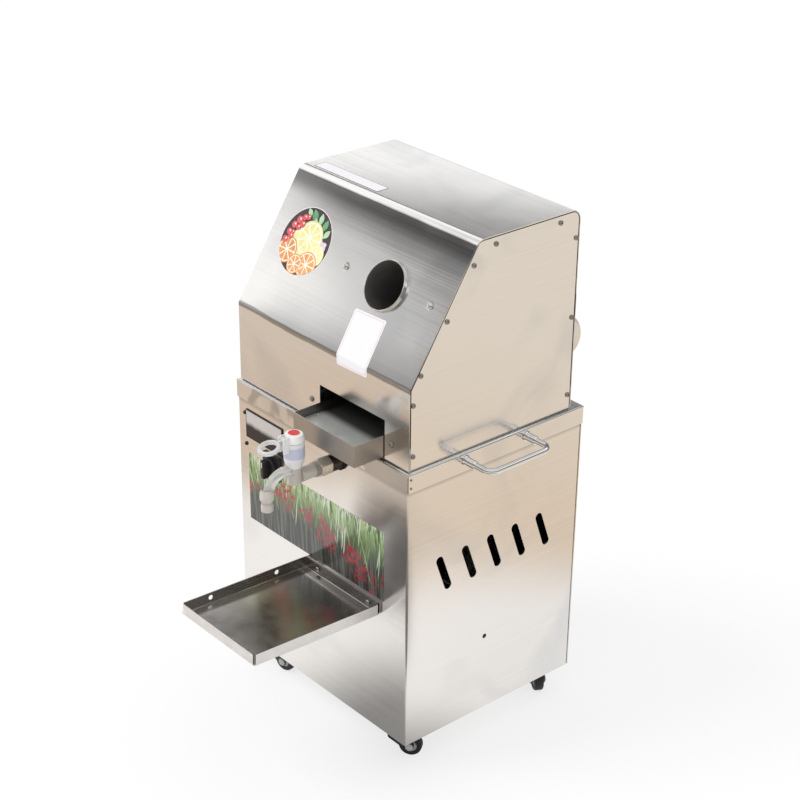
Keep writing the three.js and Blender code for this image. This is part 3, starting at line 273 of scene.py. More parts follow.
roomSet = {
    "soft": 0.84,
    "sideLean": 1.5,
    "sideStart": 0.255,
    "sideEnd": 0.178,
    "sideLow": 0.25,
    "overhead": (0.5, 0.6),
    "bands": [
        (0.00, 0.85), (0.24, 0.95), (0.30, 1.20), (0.41, 1.24), (0.46, 0.40), (0.50, 0.24),
        (0.56, 1.05), (0.68, 1.20), (0.745, 0.62), (0.80, 0.50), (1.00, 0.80),
    ],
}


def makeRoom(s):
    world = bpy.data.worlds.new("room")
    scene.world = world
    world.use_nodes = True
    tree = world.node_tree
    tree.nodes.clear()
    direction = addNode(tree, "ShaderNodeTexCoord").outputs["Generated"]
    x, z = axesOf(tree, direction, 0, 2)
    band = rampNode(tree, z, [(place, grey(level)) for place, level in s["bands"]])
    flat = mathNode(tree, "SQRT", mathNode(tree, "SUBTRACT", 1.0, multiplied(tree, z, z)))
    left = mathNode(tree, "DIVIDE", x, mathNode(tree, "MAXIMUM", flat, 0.001))
    sideways = mathNode(tree, "SUBTRACT", multiplied(tree, left, -1.0), multiplied(tree, z, s["sideLean"]))
    level = rangeNode(tree, sideways, s["sideEnd"], s["sideStart"], s["sideLow"], 1.0)
    level = mathNode(tree, "MAXIMUM", level, rangeNode(tree, z, *s["overhead"]))
    level = addNode(tree, "ShaderNodeCombineXYZ", {0: level, 1: level, 2: level}).outputs[0]
    mirrored, toCamera = mirroredRays(tree)
    colour = mixColour(tree, mirrored, grey(s["soft"]), tinted(tree, band, level))
    colour = mixColour(tree, toCamera, colour, grey(1.0))
    background = addNode(tree, "ShaderNodeBackground", {"Color": colour, "Strength": 1.0})
    finished(tree, background, "ShaderNodeOutputWorld")


makeRoom(roomSet)

lampSet = {"power": 1.1, "angle": 26, "from": (-0.55, -0.75, 1.25)}


def makeLamp(s):
    lamp = bpy.data.lights.new("softLamp", "SUN")
    lamp.energy = s["power"]
    lamp.angle = math.radians(s["angle"])
    lampObject = bpy.data.objects.new("softLamp", lamp)
    scene.collection.objects.link(lampObject)
    lampObject.rotation_mode = "QUATERNION"
    lampObject.rotation_quaternion = Vector(s["from"]).to_track_quat("Z", "Y")
    lampObject.visible_glossy = False


makeLamp(lampSet)
print("stage, room and lamp made")

# Materials


def shadedBase(tree, coords, base, shades, drift):
    # Painted shade: soft darker patches, each between four distances along its directions
    for bands, level in shades:
        share = 1.0
        for origin, direction, edges in bands:
            fromOrigin = mapped(tree, coords, move=tuple(-c for c in origin))
            along = added(tree, vectorNode(tree, "DOT_PRODUCT", fromOrigin, direction), drift)
            rise = rangeNode(tree, along, edges[0] / 1000, edges[1] / 1000)
            fall = rangeNode(tree, along, edges[3] / 1000, edges[2] / 1000)
            share = multiplied(tree, share, multiplied(tree, rise, fall))
        base = tinted(tree, base, grey(level), share)
    return base


def mottled(tree, tone, colour, spread, half):
    # Darker and lighter shades of a colour over a tone
    dark = (*(c * (1 - spread) for c in colour), 1)
    light = (*(min(c * (1 + spread), 1) for c in colour), 1)
    return rampNode(tree, tone, [(0.5 - half, dark), (0.5 + half, light)])


def bumpNode(tree, height, depth, distance):
    inputs = {"Height": height, "Strength": depth, "Distance": distance}
    return addNode(tree, "ShaderNodeBump", inputs).outputs[0]


smearTint = (0.84, 0.865, 0.90, 1)


def brushedSteel(name, colour, roughness, stretch=0.55, streaks=0.05, depth=0.02, shades=(), wander=0.012):
    # The grain runs level round the body, and along X on what lies flat
    material, tree, coords = newMaterial(name)
    normal = addNode(tree, "ShaderNodeNewGeometry").outputs["True Normal"]
    x, y = axesOf(tree, normal, 0, 1)
    grain = addNode(tree, "ShaderNodeCombineXYZ", {
        0: mathNode(tree, "SUBTRACT", y, 0.02), 1: multiplied(tree, x, -1.0), 2: 0.0,
    }).outputs[0]
    grain = vectorNode(tree, "NORMALIZE", grain, output="Vector")
    alongX = noiseNode(tree, mapped(tree, coords, (1.5, 420, 420)), 1.0, 2.0, 0.6)
    alongY = noiseNode(tree, mapped(tree, coords, (420, 1.5, 420)), 1.0, 2.0, 0.6)
    onSide = rangeNode(tree, mathNode(tree, "ABSOLUTE", x), 0.6, 0.8)
    offSide = mathNode(tree, "SUBTRACT", 1.0, onSide)
    lines = added(tree, multiplied(tree, alongX, offSide), multiplied(tree, alongY, onSide))
    cloud = noiseNode(tree, coords, 7.0, 3.0, 0.55)
    tone = added(tree, multiplied(tree, lines, 0.6), multiplied(tree, cloud, 0.4))
    base = mottled(tree, tone, colour, streaks, 0.15)
    # A bluish smear, as on sheet that has been wiped
    smear = noiseNode(tree, mapped(tree, coords, move=(3.1, 1.7, 0.4)), 5.5, 2.0, 0.5, 0.8)
    base = tinted(tree, base, smearTint, rangeNode(tree, smear, 0.5, 0.72, 0.0, 0.7))
    drift = multiplied(tree, mathNode(tree, "SUBTRACT", cloud, 0.5), wander)
    surface(tree, {
        "Base Color": shadedBase(tree, coords, base, shades, drift), "Metallic": 1.0,
        "Roughness": rangeNode(tree, tone, 0.3, 0.7, roughness - 0.03, roughness + 0.05),
        "Anisotropic": stretch, "Anisotropic Rotation": 0.25, "Tangent": grain,
        "Normal": bumpNode(tree, lines, depth, 0.0002),
    })
    return material


def plainLook(name, colour, roughness, mottle=0.12, scale=90.0, depth=0.05, metallic=1.0, shades=()):
    material, tree, coords = newMaterial(name)
    fineNoise = noiseNode(tree, coords, scale, 4.0, 0.6)
    wideNoise = noiseNode(tree, coords, scale / 9, 3.0, 0.5)
    tone = added(tree, multiplied(tree, fineNoise, 0.5), multiplied(tree, wideNoise, 0.5))
    base = mottled(tree, tone, colour, mottle, 0.18)
    surface(tree, {
        "Base Color": shadedBase(tree, coords, base, shades, 0.0), "Metallic": metallic,
        "Roughness": rangeNode(tree, tone, 0.3, 0.7, max(roughness - 0.06, 0.02), roughness + 0.08),
        "Normal": bumpNode(tree, fineNoise, depth, 0.0004),
    })
    return material


def clearPlastic(name, colour, roughness, passing):
    material, tree, coords = newMaterial(name)
    ripple = noiseNode(tree, coords, 60.0, 2.0, 0.5)
    rough = rangeNode(tree, noiseNode(tree, coords, 220.0, 3.0, 0.6), 0.3, 0.7, roughness, roughness + 0.08)
    base = rampNode(tree, ripple, [(0.3, tuple(c * 0.94 for c in colour)), (0.7, colour)])
    surface(tree, {
        "Base Color": base, "Metallic": 0.0, "Roughness": rough, "IOR": 1.46,
        "Transmission Weight": passing, "Normal": bumpNode(tree, ripple, 0.1, 0.001),
    })
    return material


steel = brushedSteel("brushedSteel", (0.87, 0.85, 0.825), 0.15, 0.7, 0.03, 0.012)
traySteel = brushedSteel("traySteel", (0.82, 0.80, 0.78), 0.18, 0.3)
plainSheet = plainLook("millFinishSheet", (0.55, 0.545, 0.54), 0.38)
zeroPoint = tuple(at(0, 0, 0))
# Painted shade on the front face of the lid's skirt
skirtShade = [([(zeroPoint, (0, 1, 0), (-60, -50, -1.2, -0.8))], 0.66)]
lidSteel = brushedSteel("lidSteel", (0.87, 0.85, 0.825), 0.17, 0.5, 0.008, 0.0, skirtShade)
# Painted shade: the drip tray's pan steel darker towards its right end
panShade = [([(zeroPoint, (1, 0, 0), (-30, 60, 400, 420))], 0.6)]
panSteel = plainLook("panSteel", (0.74, 0.70, 0.67), 0.2, 0.03, 30.0, 0.0, 1.0, panShade)
# Darker steel for the drip tray's inner walls: painted shade
innerSteel = brushedSteel("innerSteel", (0.34, 0.32, 0.30), 0.26, 0.3)
shadedSteel = brushedSteel("shadedSteel", (0.27, 0.255, 0.235), 0.3, 0.3)
trayWall = plainLook("trayWall", (0.45, 0.425, 0.40), 0.34, 0.08, 50.0, 0.02)
# Paler, less metallic steel for the drip tray's outer walls: painted light
litWallSteel = plainLook("litWallSteel", (0.97, 0.945, 0.91), 0.45, 0.12, 60.0, 0.04, 0.55)
boreSteel = plainLook("shadedBore", (0.10, 0.094, 0.088), 0.45, 0.15, 60.0, 0.05, 0.3)
cutShade = plainLook("cutShade", (0.03, 0.028, 0.026), 0.5, 0.2, 90.0)
# Painted shadow on the juice tray's floor where it lies inside the hood
hoodShadow = [([(zeroPoint, (0, 1, 0), (-8, 14, 900, 920))], 0.10)]
trayFloor = plainLook("pressedFloor", (0.86, 0.86, 0.83), 0.32, 0.06, 40.0, 0.02, 0.6, hoodShadow)
millSteel = plainLook("groundPlate", (0.34, 0.34, 0.345), 0.42, 0.15, 60.0)
gearSteel = plainLook("oiledGear", (0.26, 0.25, 0.24), 0.35, 0.2, 120.0)
turnedSteel = plainLook("turnedSteel", (0.62, 0.61, 0.60), 0.24, 0.08, 160.0, 0.03)
rollerSteel = plainLook("rollerSteel", (0.60, 0.60, 0.59), 0.3, 0.1, 140.0, 0.04)
screwSteel = plainLook("screwSteel", (0.66, 0.65, 0.63), 0.2, 0.1, 400.0, 0.03)
dullScrew = plainLook("dullScrew", (0.40, 0.385, 0.37), 0.3, 0.15, 400.0, 0.03)
brightBolt = plainLook("brightBolt", (0.80, 0.79, 0.78), 0.12, 0.06, 300.0, 0.02)
chrome = plainLook("chrome", (0.88, 0.88, 0.88), 0.06, 0.02, 200.0, 0.01)
bronze = plainLook("bronzeBush", (0.56, 0.38, 0.18), 0.34, 0.15, 150.0)
castAluminium = plainLook("castAluminium", (0.46, 0.47, 0.48), 0.5, 0.12, 260.0, 0.25, 0.85)
motorPaint = plainLook("motorPaint", (0.045, 0.052, 0.06), 0.42, 0.15, 300.0, 0.1, 0.0)
nutSteel = plainLook("dullNut", (0.80, 0.72, 0.62), 0.24, 0.15, 130.0, 0.06, 0.55)
darkNut = plainLook("darkNut", (0.12, 0.10, 0.085), 0.4, 0.25, 130.0, 0.1)
blackPlastic = plainLook("blackPlastic", (0.018, 0.017, 0.018), 0.34, 0.2, 500.0, 0.08, 0.0)
batteryPlastic = plainLook("batteryCase", (0.02, 0.024, 0.03), 0.5, 0.2, 320.0, 0.12, 0.0)
castorBlack = plainLook("castorBlack", (0.016, 0.018, 0.02), 0.3, 0.25, 240.0, 0.05, 0.0)
hubGrey = plainLook("hubGrey", (0.42, 0.42, 0.42), 0.35, 0.1, 240.0, 0.05, 0.0)
tyreBlack = plainLook("wheelTread", (0.014, 0.014, 0.015), 0.55, 0.3, 300.0, 0.15, 0.0)
rubber = plainLook("rubberSeal", (0.012, 0.012, 0.012), 0.7, 0.3, 400.0, 0.2, 0.0)
whitePlastic = plainLook("whitePlastic", (0.86, 0.86, 0.84), 0.28, 0.03, 300.0, 0.02, 0.0)
redPlastic = plainLook("redMark", (0.72, 0.05, 0.05), 0.35, 0.12, 300.0, 0.02, 0.0)
clear = clearPlastic("clearPlastic", (0.99, 0.99, 0.99, 1), 0.08, 0.26)
clearPipe = clearPlastic("clearPipe", (0.95, 0.90, 0.83, 1), 0.08, 0.5)
clearSpout = clearPlastic("clearSpout", (0.97, 0.98, 0.98, 1), 0.04, 0.66)
clearRing = clearPlastic("clearRing", (0.97, 0.975, 0.98, 1), 0.05, 0.5)
threadShade = clearPlastic("threadShade", (0.42, 0.37, 0.31, 1), 0.2, 0.2)
clearBand = clearPlastic("bluishPlastic", (0.68, 0.71, 0.88, 1), 0.15, 0.25)
print("materials made")

# CAD nodes that stay as they are

nodeLooks = {
    "cabinet_back": steel, "cabinet_floor": steel, "hood_base": plainSheet, "juice_tank": traySteel,
    "tray_runner_right": plainSheet, "tray_runner_left": plainSheet, "motor_bracket": plainSheet,
    "mill_plate_left": millSteel, "mill_plate_right": millSteel, "mill_tie_front": turnedSteel,
    "mill_tie_rear": turnedSteel, "top_roller": rollerSteel, "front_roller": rollerSteel,
    "rear_roller": rollerSteel, "top_gear": gearSteel, "front_gear": gearSteel, "rear_gear": gearSteel,
    "drive_coupling": turnedSteel, "gearbox": castAluminium, "motor": motorPaint,
    "battery_pack": batteryPlastic, "power_inlet": blackPlastic, "tap_gasket": rubber,
}
for side in ("left", "right"):
    for place in ("top", "front", "rear"):
        nodeLooks[f"{place}_bush_{side}"] = bronze
for place in ("front_right", "front_left", "rear_right", "rear_left"):
    nodeLooks[f"castor_plate_{place}"] = castorBlack
for name, look in nodeLooks.items():
    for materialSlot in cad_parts[name].material_slots:
        materialSlot.material = look
print("CAD nodes dressed:", len(nodeLooks))

# Modelling helpers, in millimetres


def toMesh(bm, name):
    mesh = bpy.data.meshes.new(name)
    bm.to_mesh(mesh)
    bm.free()
    return mesh


def joined(*parts):
    whole = bmesh.new()
    for part in parts:
        mesh = toMesh(part, "part")
        whole.from_mesh(mesh)
        bpy.data.meshes.remove(mesh)
    return whole


def moved(bm, matrix):
    bmesh.ops.transform(bm, matrix=matrix, verts=bm.verts)
    return bm


def shifted(bm, x=0.0, y=0.0, z=0.0):
    return moved(bm, Matrix.Translation((x, y, z)))


def block(x, y, z):
    bm = bmesh.new()
    size = Vector((x[1] - x[0], y[1] - y[0], z[1] - z[0]))
    middle = Vector((x[0] + x[1], y[0] + y[1], z[0] + z[1])) / 2
    bmesh.ops.create_cube(bm, size=1.0, matrix=Matrix.Translation(middle) @ Matrix.Diagonal((*size, 1)))
    return bm


def bevelEdges(bm, edges, width, segments=3):
    bmesh.ops.bevel(bm, geom=edges, offset=width, offset_type="OFFSET", affect="EDGES", segments=segments,
                    profile=0.5, material=-1, clamp_overlap=True)
    return bm


def outward(bm):
    bmesh.ops.recalc_face_normals(bm, faces=bm.faces)
    return bm


def farthest(bm, axis, sign):
    return max(bm.faces, key=lambda face: sign * face.calc_center_median()[axis])


def drawnOut(bm, faces, way):
    # Draws faces out into a solid
    grown = bmesh.ops.extrude_face_region(bm, geom=faces)
    bmesh.ops.translate(bm, vec=way, verts=[v for v in grown["geom"] if isinstance(v, bmesh.types.BMVert)])
    return bm


def edgesAlong(bm, axis):
    return [e for e in bm.edges if abs(e.verts[0].co[axis] - e.verts[1].co[axis]) > 1]


def spun(profile, steps=48):
    # Pairs of radius and height, turned about Z
    bm = bmesh.new()
    verts = [bm.verts.new((radius, 0, height)) for radius, height in profile]
    edges = [bm.edges.new(pair) for pair in zip(verts, verts[1:])]
    bmesh.ops.spin(bm, geom=verts + edges, cent=(0, 0, 0), axis=(0, 0, 1), angle=2 * math.pi, steps=steps,
                   use_merge=True)
    bmesh.ops.remove_doubles(bm, verts=bm.verts, dist=1e-4)
    return outward(bm)


def axisTurn(direction):
    return Vector(direction).normalized().to_track_quat("Z", "Y").to_matrix().to_4x4()


def spunAt(profile, centre, direction=(0, 0, 1), steps=48):
    return moved(spun(profile, steps), Matrix.Translation(centre) @ axisTurn(direction))


def drill(radius, centre, direction, steps, low=-10, high=10):
    return spunAt([(0, low), (radius, low), (radius, high), (0, high)], centre, direction, steps)


def pipeAt(inner, outer, low, high, centre, direction, steps):
    profile = [(inner, low), (outer, low), (outer, high), (inner, high), (inner, low)]
    return spunAt(profile, centre, direction, steps)


def bothEnds(profile):
    # Upper half of a profile and its reflection, from below upward
    return [(radius, -height) for radius, height in profile] + profile[::-1]


def rounded(points, radii, steps=6):
    # Path through the corners, with an arc at each inner one
    path = [Vector(points[0])]
    for before, corner, after, radius in zip(points, points[1:], points[2:], radii):
        corner = Vector(corner)
        toBefore, toAfter = (Vector(before) - corner).normalized(), (Vector(after) - corner).normalized()
        half = toBefore.angle(toAfter) / 2
        middle = (toBefore + toAfter).normalized()
        centre = corner + middle * radius / math.sin(half)
        start = corner + toBefore * radius / math.tan(half) - centre
        end = corner + toAfter * radius / math.tan(half) - centre
        for i in range(steps + 1):
            path.append(centre + start.normalized().slerp(end.normalized(), i / steps) * radius)
    path.append(Vector(points[-1]))
    return path


def rodAlong(points, radius, sides=16):
    curve = bpy.data.curves.new("rod", "CURVE")
    curve.dimensions = "3D"
    curve.bevel_depth = radius
    curve.bevel_resolution = sides // 4
    curve.use_fill_caps = True
    spline = curve.splines.new("POLY")
    spline.points.add(len(points) - 1)
    for point, place in zip(spline.points, points):
        point.co = (*place, 1)
    holder = bpy.data.objects.new("rod", curve)
    scene.collection.objects.link(holder)
    mesh = bpy.data.meshes.new_from_object(holder.evaluated_get(bpy.context.evaluated_depsgraph_get()))
    bm = bmesh.new()
    bm.from_mesh(mesh)
    bpy.data.objects.remove(holder)
    bpy.data.meshes.remove(mesh)
    bmesh.ops.remove_doubles(bm, verts=bm.verts, dist=1e-4)
    return outward(bm)


def makeObject(bm, name):
    piece = bpy.data.objects.new(name, toMesh(moved(bm, toFrame), name))
    scene.collection.objects.link(piece)
    return piece


def settle(piece):
    # Keeps the mesh that the modifiers make
    graph = bpy.context.evaluated_depsgraph_get()
    mesh = bpy.data.meshes.new_from_object(piece.evaluated_get(graph))
    piece.modifiers.clear()
    piece.data = mesh
    return piece


def thicken(piece, sheet):
    wall = piece.modifiers.new("wall", "SOLIDIFY")
    wall.thickness = sheet / 1000
    wall.offset = -1
    wall.use_even_offset = True
    return settle(piece)


def cutOut(piece, *cutters):
    tool = makeObject(joined(*cutters), "cutter")
    opening = piece.modifiers.new("opening", "BOOLEAN")
    opening.operation = "DIFFERENCE"
    opening.solver = "EXACT"
    opening.object = tool
    settle(piece)
    bpy.data.objects.remove(tool)
    return piece


def flip(bm, axis):
    # Turns an open sheet outside out, as its face farthest along the axis tells
    if farthest(bm, axis, 1).normal[axis] < 0:
        bmesh.ops.reverse_faces(bm, faces=bm.faces)
    return bm


def openBox(x, y, z, openUp, bend):
    # Folded box without its upper or its lower face
    bm = block(x, y, z)
    bmesh.ops.delete(bm, geom=[farthest(bm, 2, 1 if openUp else -1)], context="FACES")
    closed = z[0] if openUp else z[1]
    rim = [e for e in bm.edges if all(abs(v.co.z - closed) < 0.1 for v in e.verts)]
    return bevelEdges(bm, rim, bend, 5)


def dress(piece, body, look, replaced=(), bevel=0.0, smooth=35):
    looks = look if isinstance(look, (list, tuple)) else [look]
    mesh = piece.data
    while len(mesh.materials) < len(looks):
        mesh.materials.append(None)
    for i, material in enumerate(looks):
        mesh.materials[i] = material
    for polygon in mesh.polygons:
        polygon.use_smooth = True
    mesh.set_sharp_from_angle(angle=math.radians(smooth))
    if bevel:
        edge = piece.modifiers.new("softEdges", "BEVEL")
        edge.width = bevel / 1000
        edge.segments = 2
        edge.limit_method = "ANGLE"
        edge.angle_limit = math.radians(50)
    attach(piece, body)
    if replaced:
        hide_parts(*replaced)
    return piece


def put(bm, name, look, replaced=(), bevel=0.0, smooth=35, body="main"):
    return dress(makeObject(bm, name), body, look, replaced, bevel, smooth)


# Hood: one sheet folded over the slope, the top and the back

hoodSet = {
    "width": 412.7, "front": 3.9, "back": 336.0, "bottom": 487.8,
    "kink": 619.3, "top": 818.8, "topFront": 131.2,
    "sheet": 1.5, "topBend": 18.0, "kinkBend": 5.0, "inset": 1.2, "reveals": (4.6, 2.4, 3.6),
    # Painted shade: darker bands and patches on the hood sheet, between distances up the slope from the kink
    # and along X
    "shades": [
        ({"up": (188, 220, 226, 233)}, 0.40),
        ({"up": (160, 196, 216, 226), "x": (-190, -60, 400, 420)}, 0.70),
        ({"up": (-2, 3, 10, 80), "x": (-190, -60, 400, 420)}, 0.74),
        ({"up": (-2, 1, 3, 26), "x": (-205, -120, 400, 420)}, 0.78),
        ({"up": (-2, 3, 20, 70), "x": (-60, 130, 400, 420)}, 0.84),
        ({"up": (-2, 3, 60, 120), "x": (-60, 40, 400, 420)}, 0.92),
        ({"up": (-7, -4, 1, 4)}, 0.42),
        ({"up": (-112, -80, -66, -14), "x": (118, 188, 400, 420)}, 0.5),
    ],
    "slotX": (-1.5, 151.5), "slotTop": 552.0, "tubeX": 77.0, "tubeUp": 122.0, "tubeHole": 40.0,
    "chuteEnd": (75.0, 443.8, 532.0), "chuteHole": 38.8,
}
slopeAngle = math.atan2(hoodSet["top"] - hoodSet["kink"], hoodSet["topFront"] - hoodSet["front"])
upSlope = Vector((0, math.cos(slopeAngle), math.sin(slopeAngle)))
outOfSlope = Vector((0, -math.sin(slopeAngle), math.cos(slopeAngle)))


def onSlope(x, up, out=0.0):
    return Vector((x, hoodSet["front"], hoodSet["kink"])) + upSlope * up + outOfSlope * out


slopeFrame = Matrix.Identity(4)
slopeFrame.col[1].xyz = upSlope
slopeFrame.col[2].xyz = outOfSlope


def slopeAt(x, up, out=0.0):
    return Matrix.Translation(onSlope(x, up, out)) @ slopeFrame


def foldedSheet(corners, bends, direction, segments):
    # Corners of the outside of a sheet, drawn out along a direction, with each fold rounded
    bm = bmesh.new()
    verts = [bm.verts.new(corner) for corner in corners]
    edges = [bm.edges.new(pair) for pair in zip(verts, verts[1:])]
    bmesh.ops.extrude_edge_only(bm, edges=edges)
    bm.verts.ensure_lookup_table()
    moving = [v for v in bm.verts if v not in verts]
    bmesh.ops.translate(bm, vec=direction, verts=moving)
    for corner, before, after, radius in zip(corners[1:-1], corners, corners[2:], bends):
        turn = math.pi - (Vector(before) - Vector(corner)).angle(Vector(after) - Vector(corner))
        fold = [e for e in bm.edges if all(
            (v.co - Vector(corner)).cross(Vector(direction)).length < 1e-3 for v in e.verts)]
        bevelEdges(bm, fold, radius * math.tan(turn / 2), segments)
    return outward(bm)


def makeHood(s):
    foot = tuple(at(*onSlope(0, 0)))
    ways = {"up": tuple(upSlope), "x": (1, 0, 0)}
    shades = []
    for bands, level in s["shades"]:
        shades.append(([(foot, ways[way], edges) for way, edges in bands.items()], level))
    hoodSteel = brushedSteel("hoodSteel", (0.88, 0.86, 0.84), 0.15, 0.7, 0.03, 0.012, shades)
    half = s["width"] / 2
    corners = [(-half, s[y], s[z]) for y, z in (
        ("back", "bottom"), ("back", "top"), ("topFront", "top"), ("front", "kink"), ("front", "bottom"))]
    bends = [s["topBend"], s["topBend"], s["kinkBend"]]
    sheet = flip(foldedSheet(corners, bends, (s["width"], 0, 0), 10), 2)
    piece = thicken(makeObject(sheet, "hoodSheet"), s["sheet"])
    tube = drill(s["tubeHole"], onSlope(s["tubeX"], s["tubeUp"]), outOfSlope, 72, -30, 30)
    chute = drill(s["chuteHole"], s["chuteEnd"], outOfSlope, 72, 40, 200)
    slot = block(s["slotX"], (-10, 10), (400, s["slotTop"]))
    cutOut(piece, tube, chute, slot)
    dress(piece, "main", hoodSteel, ["hood_wrap"], 0.25, 20)


def makeHoodSide(s, name, sign):
    # Flat plate inside the edge of the sheet, with its upper corners rounded
    half = s["width"] / 2 - s["inset"]
    reveal, backReveal, topReveal = s["reveals"]
    x = (half - s["sheet"], half) if sign > 0 else (-half, -half + s["sheet"])
    face = bmesh.new()
    outline = [
        (s["back"] - backReveal, s["bottom"]), (s["back"] - backReveal, s["top"] - topReveal),
        (s["topFront"] + reveal * math.tan(slopeAngle / 2), s["top"] - topReveal),
        (s["front"] + reveal, s["kink"] - reveal * math.tan((math.pi / 2 - slopeAngle) / 2)),
        (s["front"] + reveal, s["bottom"]),
    ]
    radii = [s["topBend"] - reveal, s["topBend"] - reveal, s["kinkBend"] - reveal + 1]
    path = rounded([(0, *point) for point in outline], radii, 6)
    plate = face.faces.new([face.verts.new((x[0], point.y, point.z)) for point in path])
    face = outward(drawnOut(face, [plate], (x[1] - x[0], 0, 0)))
    put(face, name + "Panel", steel, [name], 0.2)


makeHood(hoodSet)
makeHoodSide(hoodSet, "hood_side_right", 1)
makeHoodSide(hoodSet, "hood_side_left", -1)
print("hood made")

# Feed tube and rear chute, each with the plate that holds it

tubeSet = {"bore": 37.5, "wall": 2.2, "out": 7.0, "reach": 78.0, "plate": (214, 96, 2.0, 3.8)}
chuteSet = {"bore": 36.5, "wall": 2.0, "length": 182.0,
            "plate": 112.0, "plateY": (332.7, 334.2), "plateZ": 600.8}


def tubeProfile(bore, wall, low, high):
    # Rounded at its upper end
    lip = wall / 2
    return [
        (bore, low), (bore, high - lip), (bore + lip / 2, high - lip / 4), (bore + lip, high),
        (bore + wall - lip / 3, high - lip / 4), (bore + wall, high - lip), (bore + wall, low), (bore, low),
    ]


def makeTubes(t, c, s):
    mouth = onSlope(s["tubeX"], s["tubeUp"])
    tube = spunAt(tubeProfile(t["bore"], t["wall"], -t["reach"], t["out"]), mouth, outOfSlope, 96)
    w, h, sheet, sunk = t["plate"]
    plate = block((-w / 2, w / 2), (-h / 2, h / 2), (-sunk, -sunk + sheet))
    plate = makeObject(moved(plate, slopeAt(s["tubeX"], s["tubeUp"])), "feedPlate")
    cutOut(plate, drill(t["bore"] + 1, mouth, outOfSlope, 72, -30, 30))
    dress(plate, "main", plainSheet)
    tube = makeObject(tube, "feedTube")
    middle = at(*mouth)
    for polygon in tube.data.polygons:
        out = polygon.center - middle
        across = (out - outOfSlope * out.dot(outOfSlope)).length * 1000
        polygon.material_index = int(across < t["bore"] + 0.3)
    dress(tube, "main", [traySteel, boreSteel], ["feed_tube"])
    end = Vector(s["chuteEnd"])
    profile = [(r, -a) for r, a in tubeProfile(c["bore"], c["wall"], -c["length"], 0)]
    put(spunAt(profile, end, outOfSlope, 96), "rearChute", traySteel, ["rear_chute"])
    half = c["plate"] / 2
    plate = block((end.x - half, end.x + half), c["plateY"], (c["plateZ"] - half, c["plateZ"] + half))
    plate = makeObject(plate, "chutePlate")
    cutOut(plate, drill(c["bore"] + 1, end, outOfSlope, 72, 40, 200))
    dress(plate, "main", plainSheet)


makeTubes(tubeSet, chuteSet, hoodSet)
print("tubes made")

# Cabinet

cabinetSet = {
    "half": 210.0, "rear": 358.2, "flange": 18.0, "top": 483.0, "sheet": 1.5, "bend": 3.0,
    "vents": 5, "ventPitch": 52.2, "ventFirst": 74.5, "ventHeight": 290.5, "ventSpan": 53.0,
    "ventWidth": 14.0, "ventLean": 19.8, "hole": (164.6, 137.7, 4.0),
    "frontHoles": [(50, 445.6), (-122, 362.5)], "frontHole": 11.3,
    "meterHole": ((-182.8, -98.2), (-10, 10), (393.5, 437.5)),
    "underLid": (446, 454, 500, 510), "underLevel": 0.7,
    "darkEnds": [((1, 0, 0), (118, 192, 400, 420)), ((0, 0, 1), (262, 350, 372, 440)),
                 ((0, 1, 0), (-60, -50, 0.8, 1.6))],
    "darkLevel": 0.45,
}


def slotCutter(span, width, depth):
    # Upright slot with round ends, that cuts along X
    bm = bmesh.new()
    for end, start in ((span / 2, 0.0), (-span / 2, math.pi)):
        for i in range(9):
            angle = start + math.pi * i / 8
            bm.verts.new((-depth / 2, width / 2 * math.cos(angle), end + width / 2 * math.sin(angle)))
    return outward(drawnOut(bm, [bm.faces.new(bm.verts)], (depth, 0, 0)))


def makeCabinet(s):
    h, r, f = s["half"], s["rear"], s["half"] - s["flange"]
    corners = [(-f, r, 0), (-h, r, 0), (-h, 0, 0), (h, 0, 0), (h, r, 0), (f, r, 0)]
    sheet = flip(foldedSheet(corners, [s["bend"]] * 4, (0, 0, s["top"]), 5), 0)
    piece = thicken(makeObject(sheet, "cabinetSheet"), s["sheet"])
    cutters = []
    for sign in (-1, 1):
        for i in range(s["vents"]):
            slot = slotCutter(s["ventSpan"], s["ventWidth"], 20)
            slot = moved(slot, Matrix.Rotation(math.radians(s["ventLean"]), 4, "X"))
            cutters.append(shifted(slot, sign * h, s["ventFirst"] + i * s["ventPitch"], s["ventHeight"]))
    y, z, radius = s["hole"]
    cutters.append(drill(radius, (h, y, z), (1, 0, 0), 24))
    for x, z in s["frontHoles"]:
        cutters.append(drill(s["frontHole"], (x, 0, z), (0, 1, 0), 32))
    cutters.append(block(*s["meterHole"]))
    cutOut(piece, *cutters)
    # Shade below the lid, and at the front's right end
    ends = [(zeroPoint, way, edges) for way, edges in s["darkEnds"]]
    shades = [([(zeroPoint, (0, 0, 1), s["underLid"])], s["underLevel"]), (ends, s["darkLevel"])]
    cabinetSteel = brushedSteel("cabinetSteel", (0.87, 0.85, 0.825), 0.15, 0.7, 0.03, 0.012, shades, 0.004)
    dress(piece, "main", cabinetSteel, ["cabinet_shell"], 0.2, 20)


makeCabinet(cabinetSet)

lidSet = {"x": 211.6, "y": (-1.6, 361.6), "z": (455.0, 486.0), "sheet": 1.3, "bend": 3.0, "notch": 2.2,
          "cornerFold": 3.5, "well": ((20, 130), (48, 188), (470, 500)), "tapRelief": (50, 445.6, 17.5)}


def makeLid(s):
    lid = openBox((-s["x"], s["x"]), s["y"], s["z"], False, s["bend"])
    piece = thicken(makeObject(lid, "lidSheet"), s["sheet"])
    notches = []
    for x in (-s["x"], s["x"]):
        for y in s["y"]:
            n = s["notch"] / 2
            notches.append(block((x - n, x + n), (y - n, y + n), (s["z"][0] - 5, s["z"][1] - s["cornerFold"])))
    x, z, radius = s["tapRelief"]
    relief = drill(radius, (x, 0, z), (0, 1, 0), 32, -10, 1.5)
    cutOut(piece, block(*s["well"]), relief, *notches)
    dress(piece, "main", lidSteel, ["cabinet_top"], 0.2, 20)


makeLid(lidSet)
print("cabinet made")

# Screws

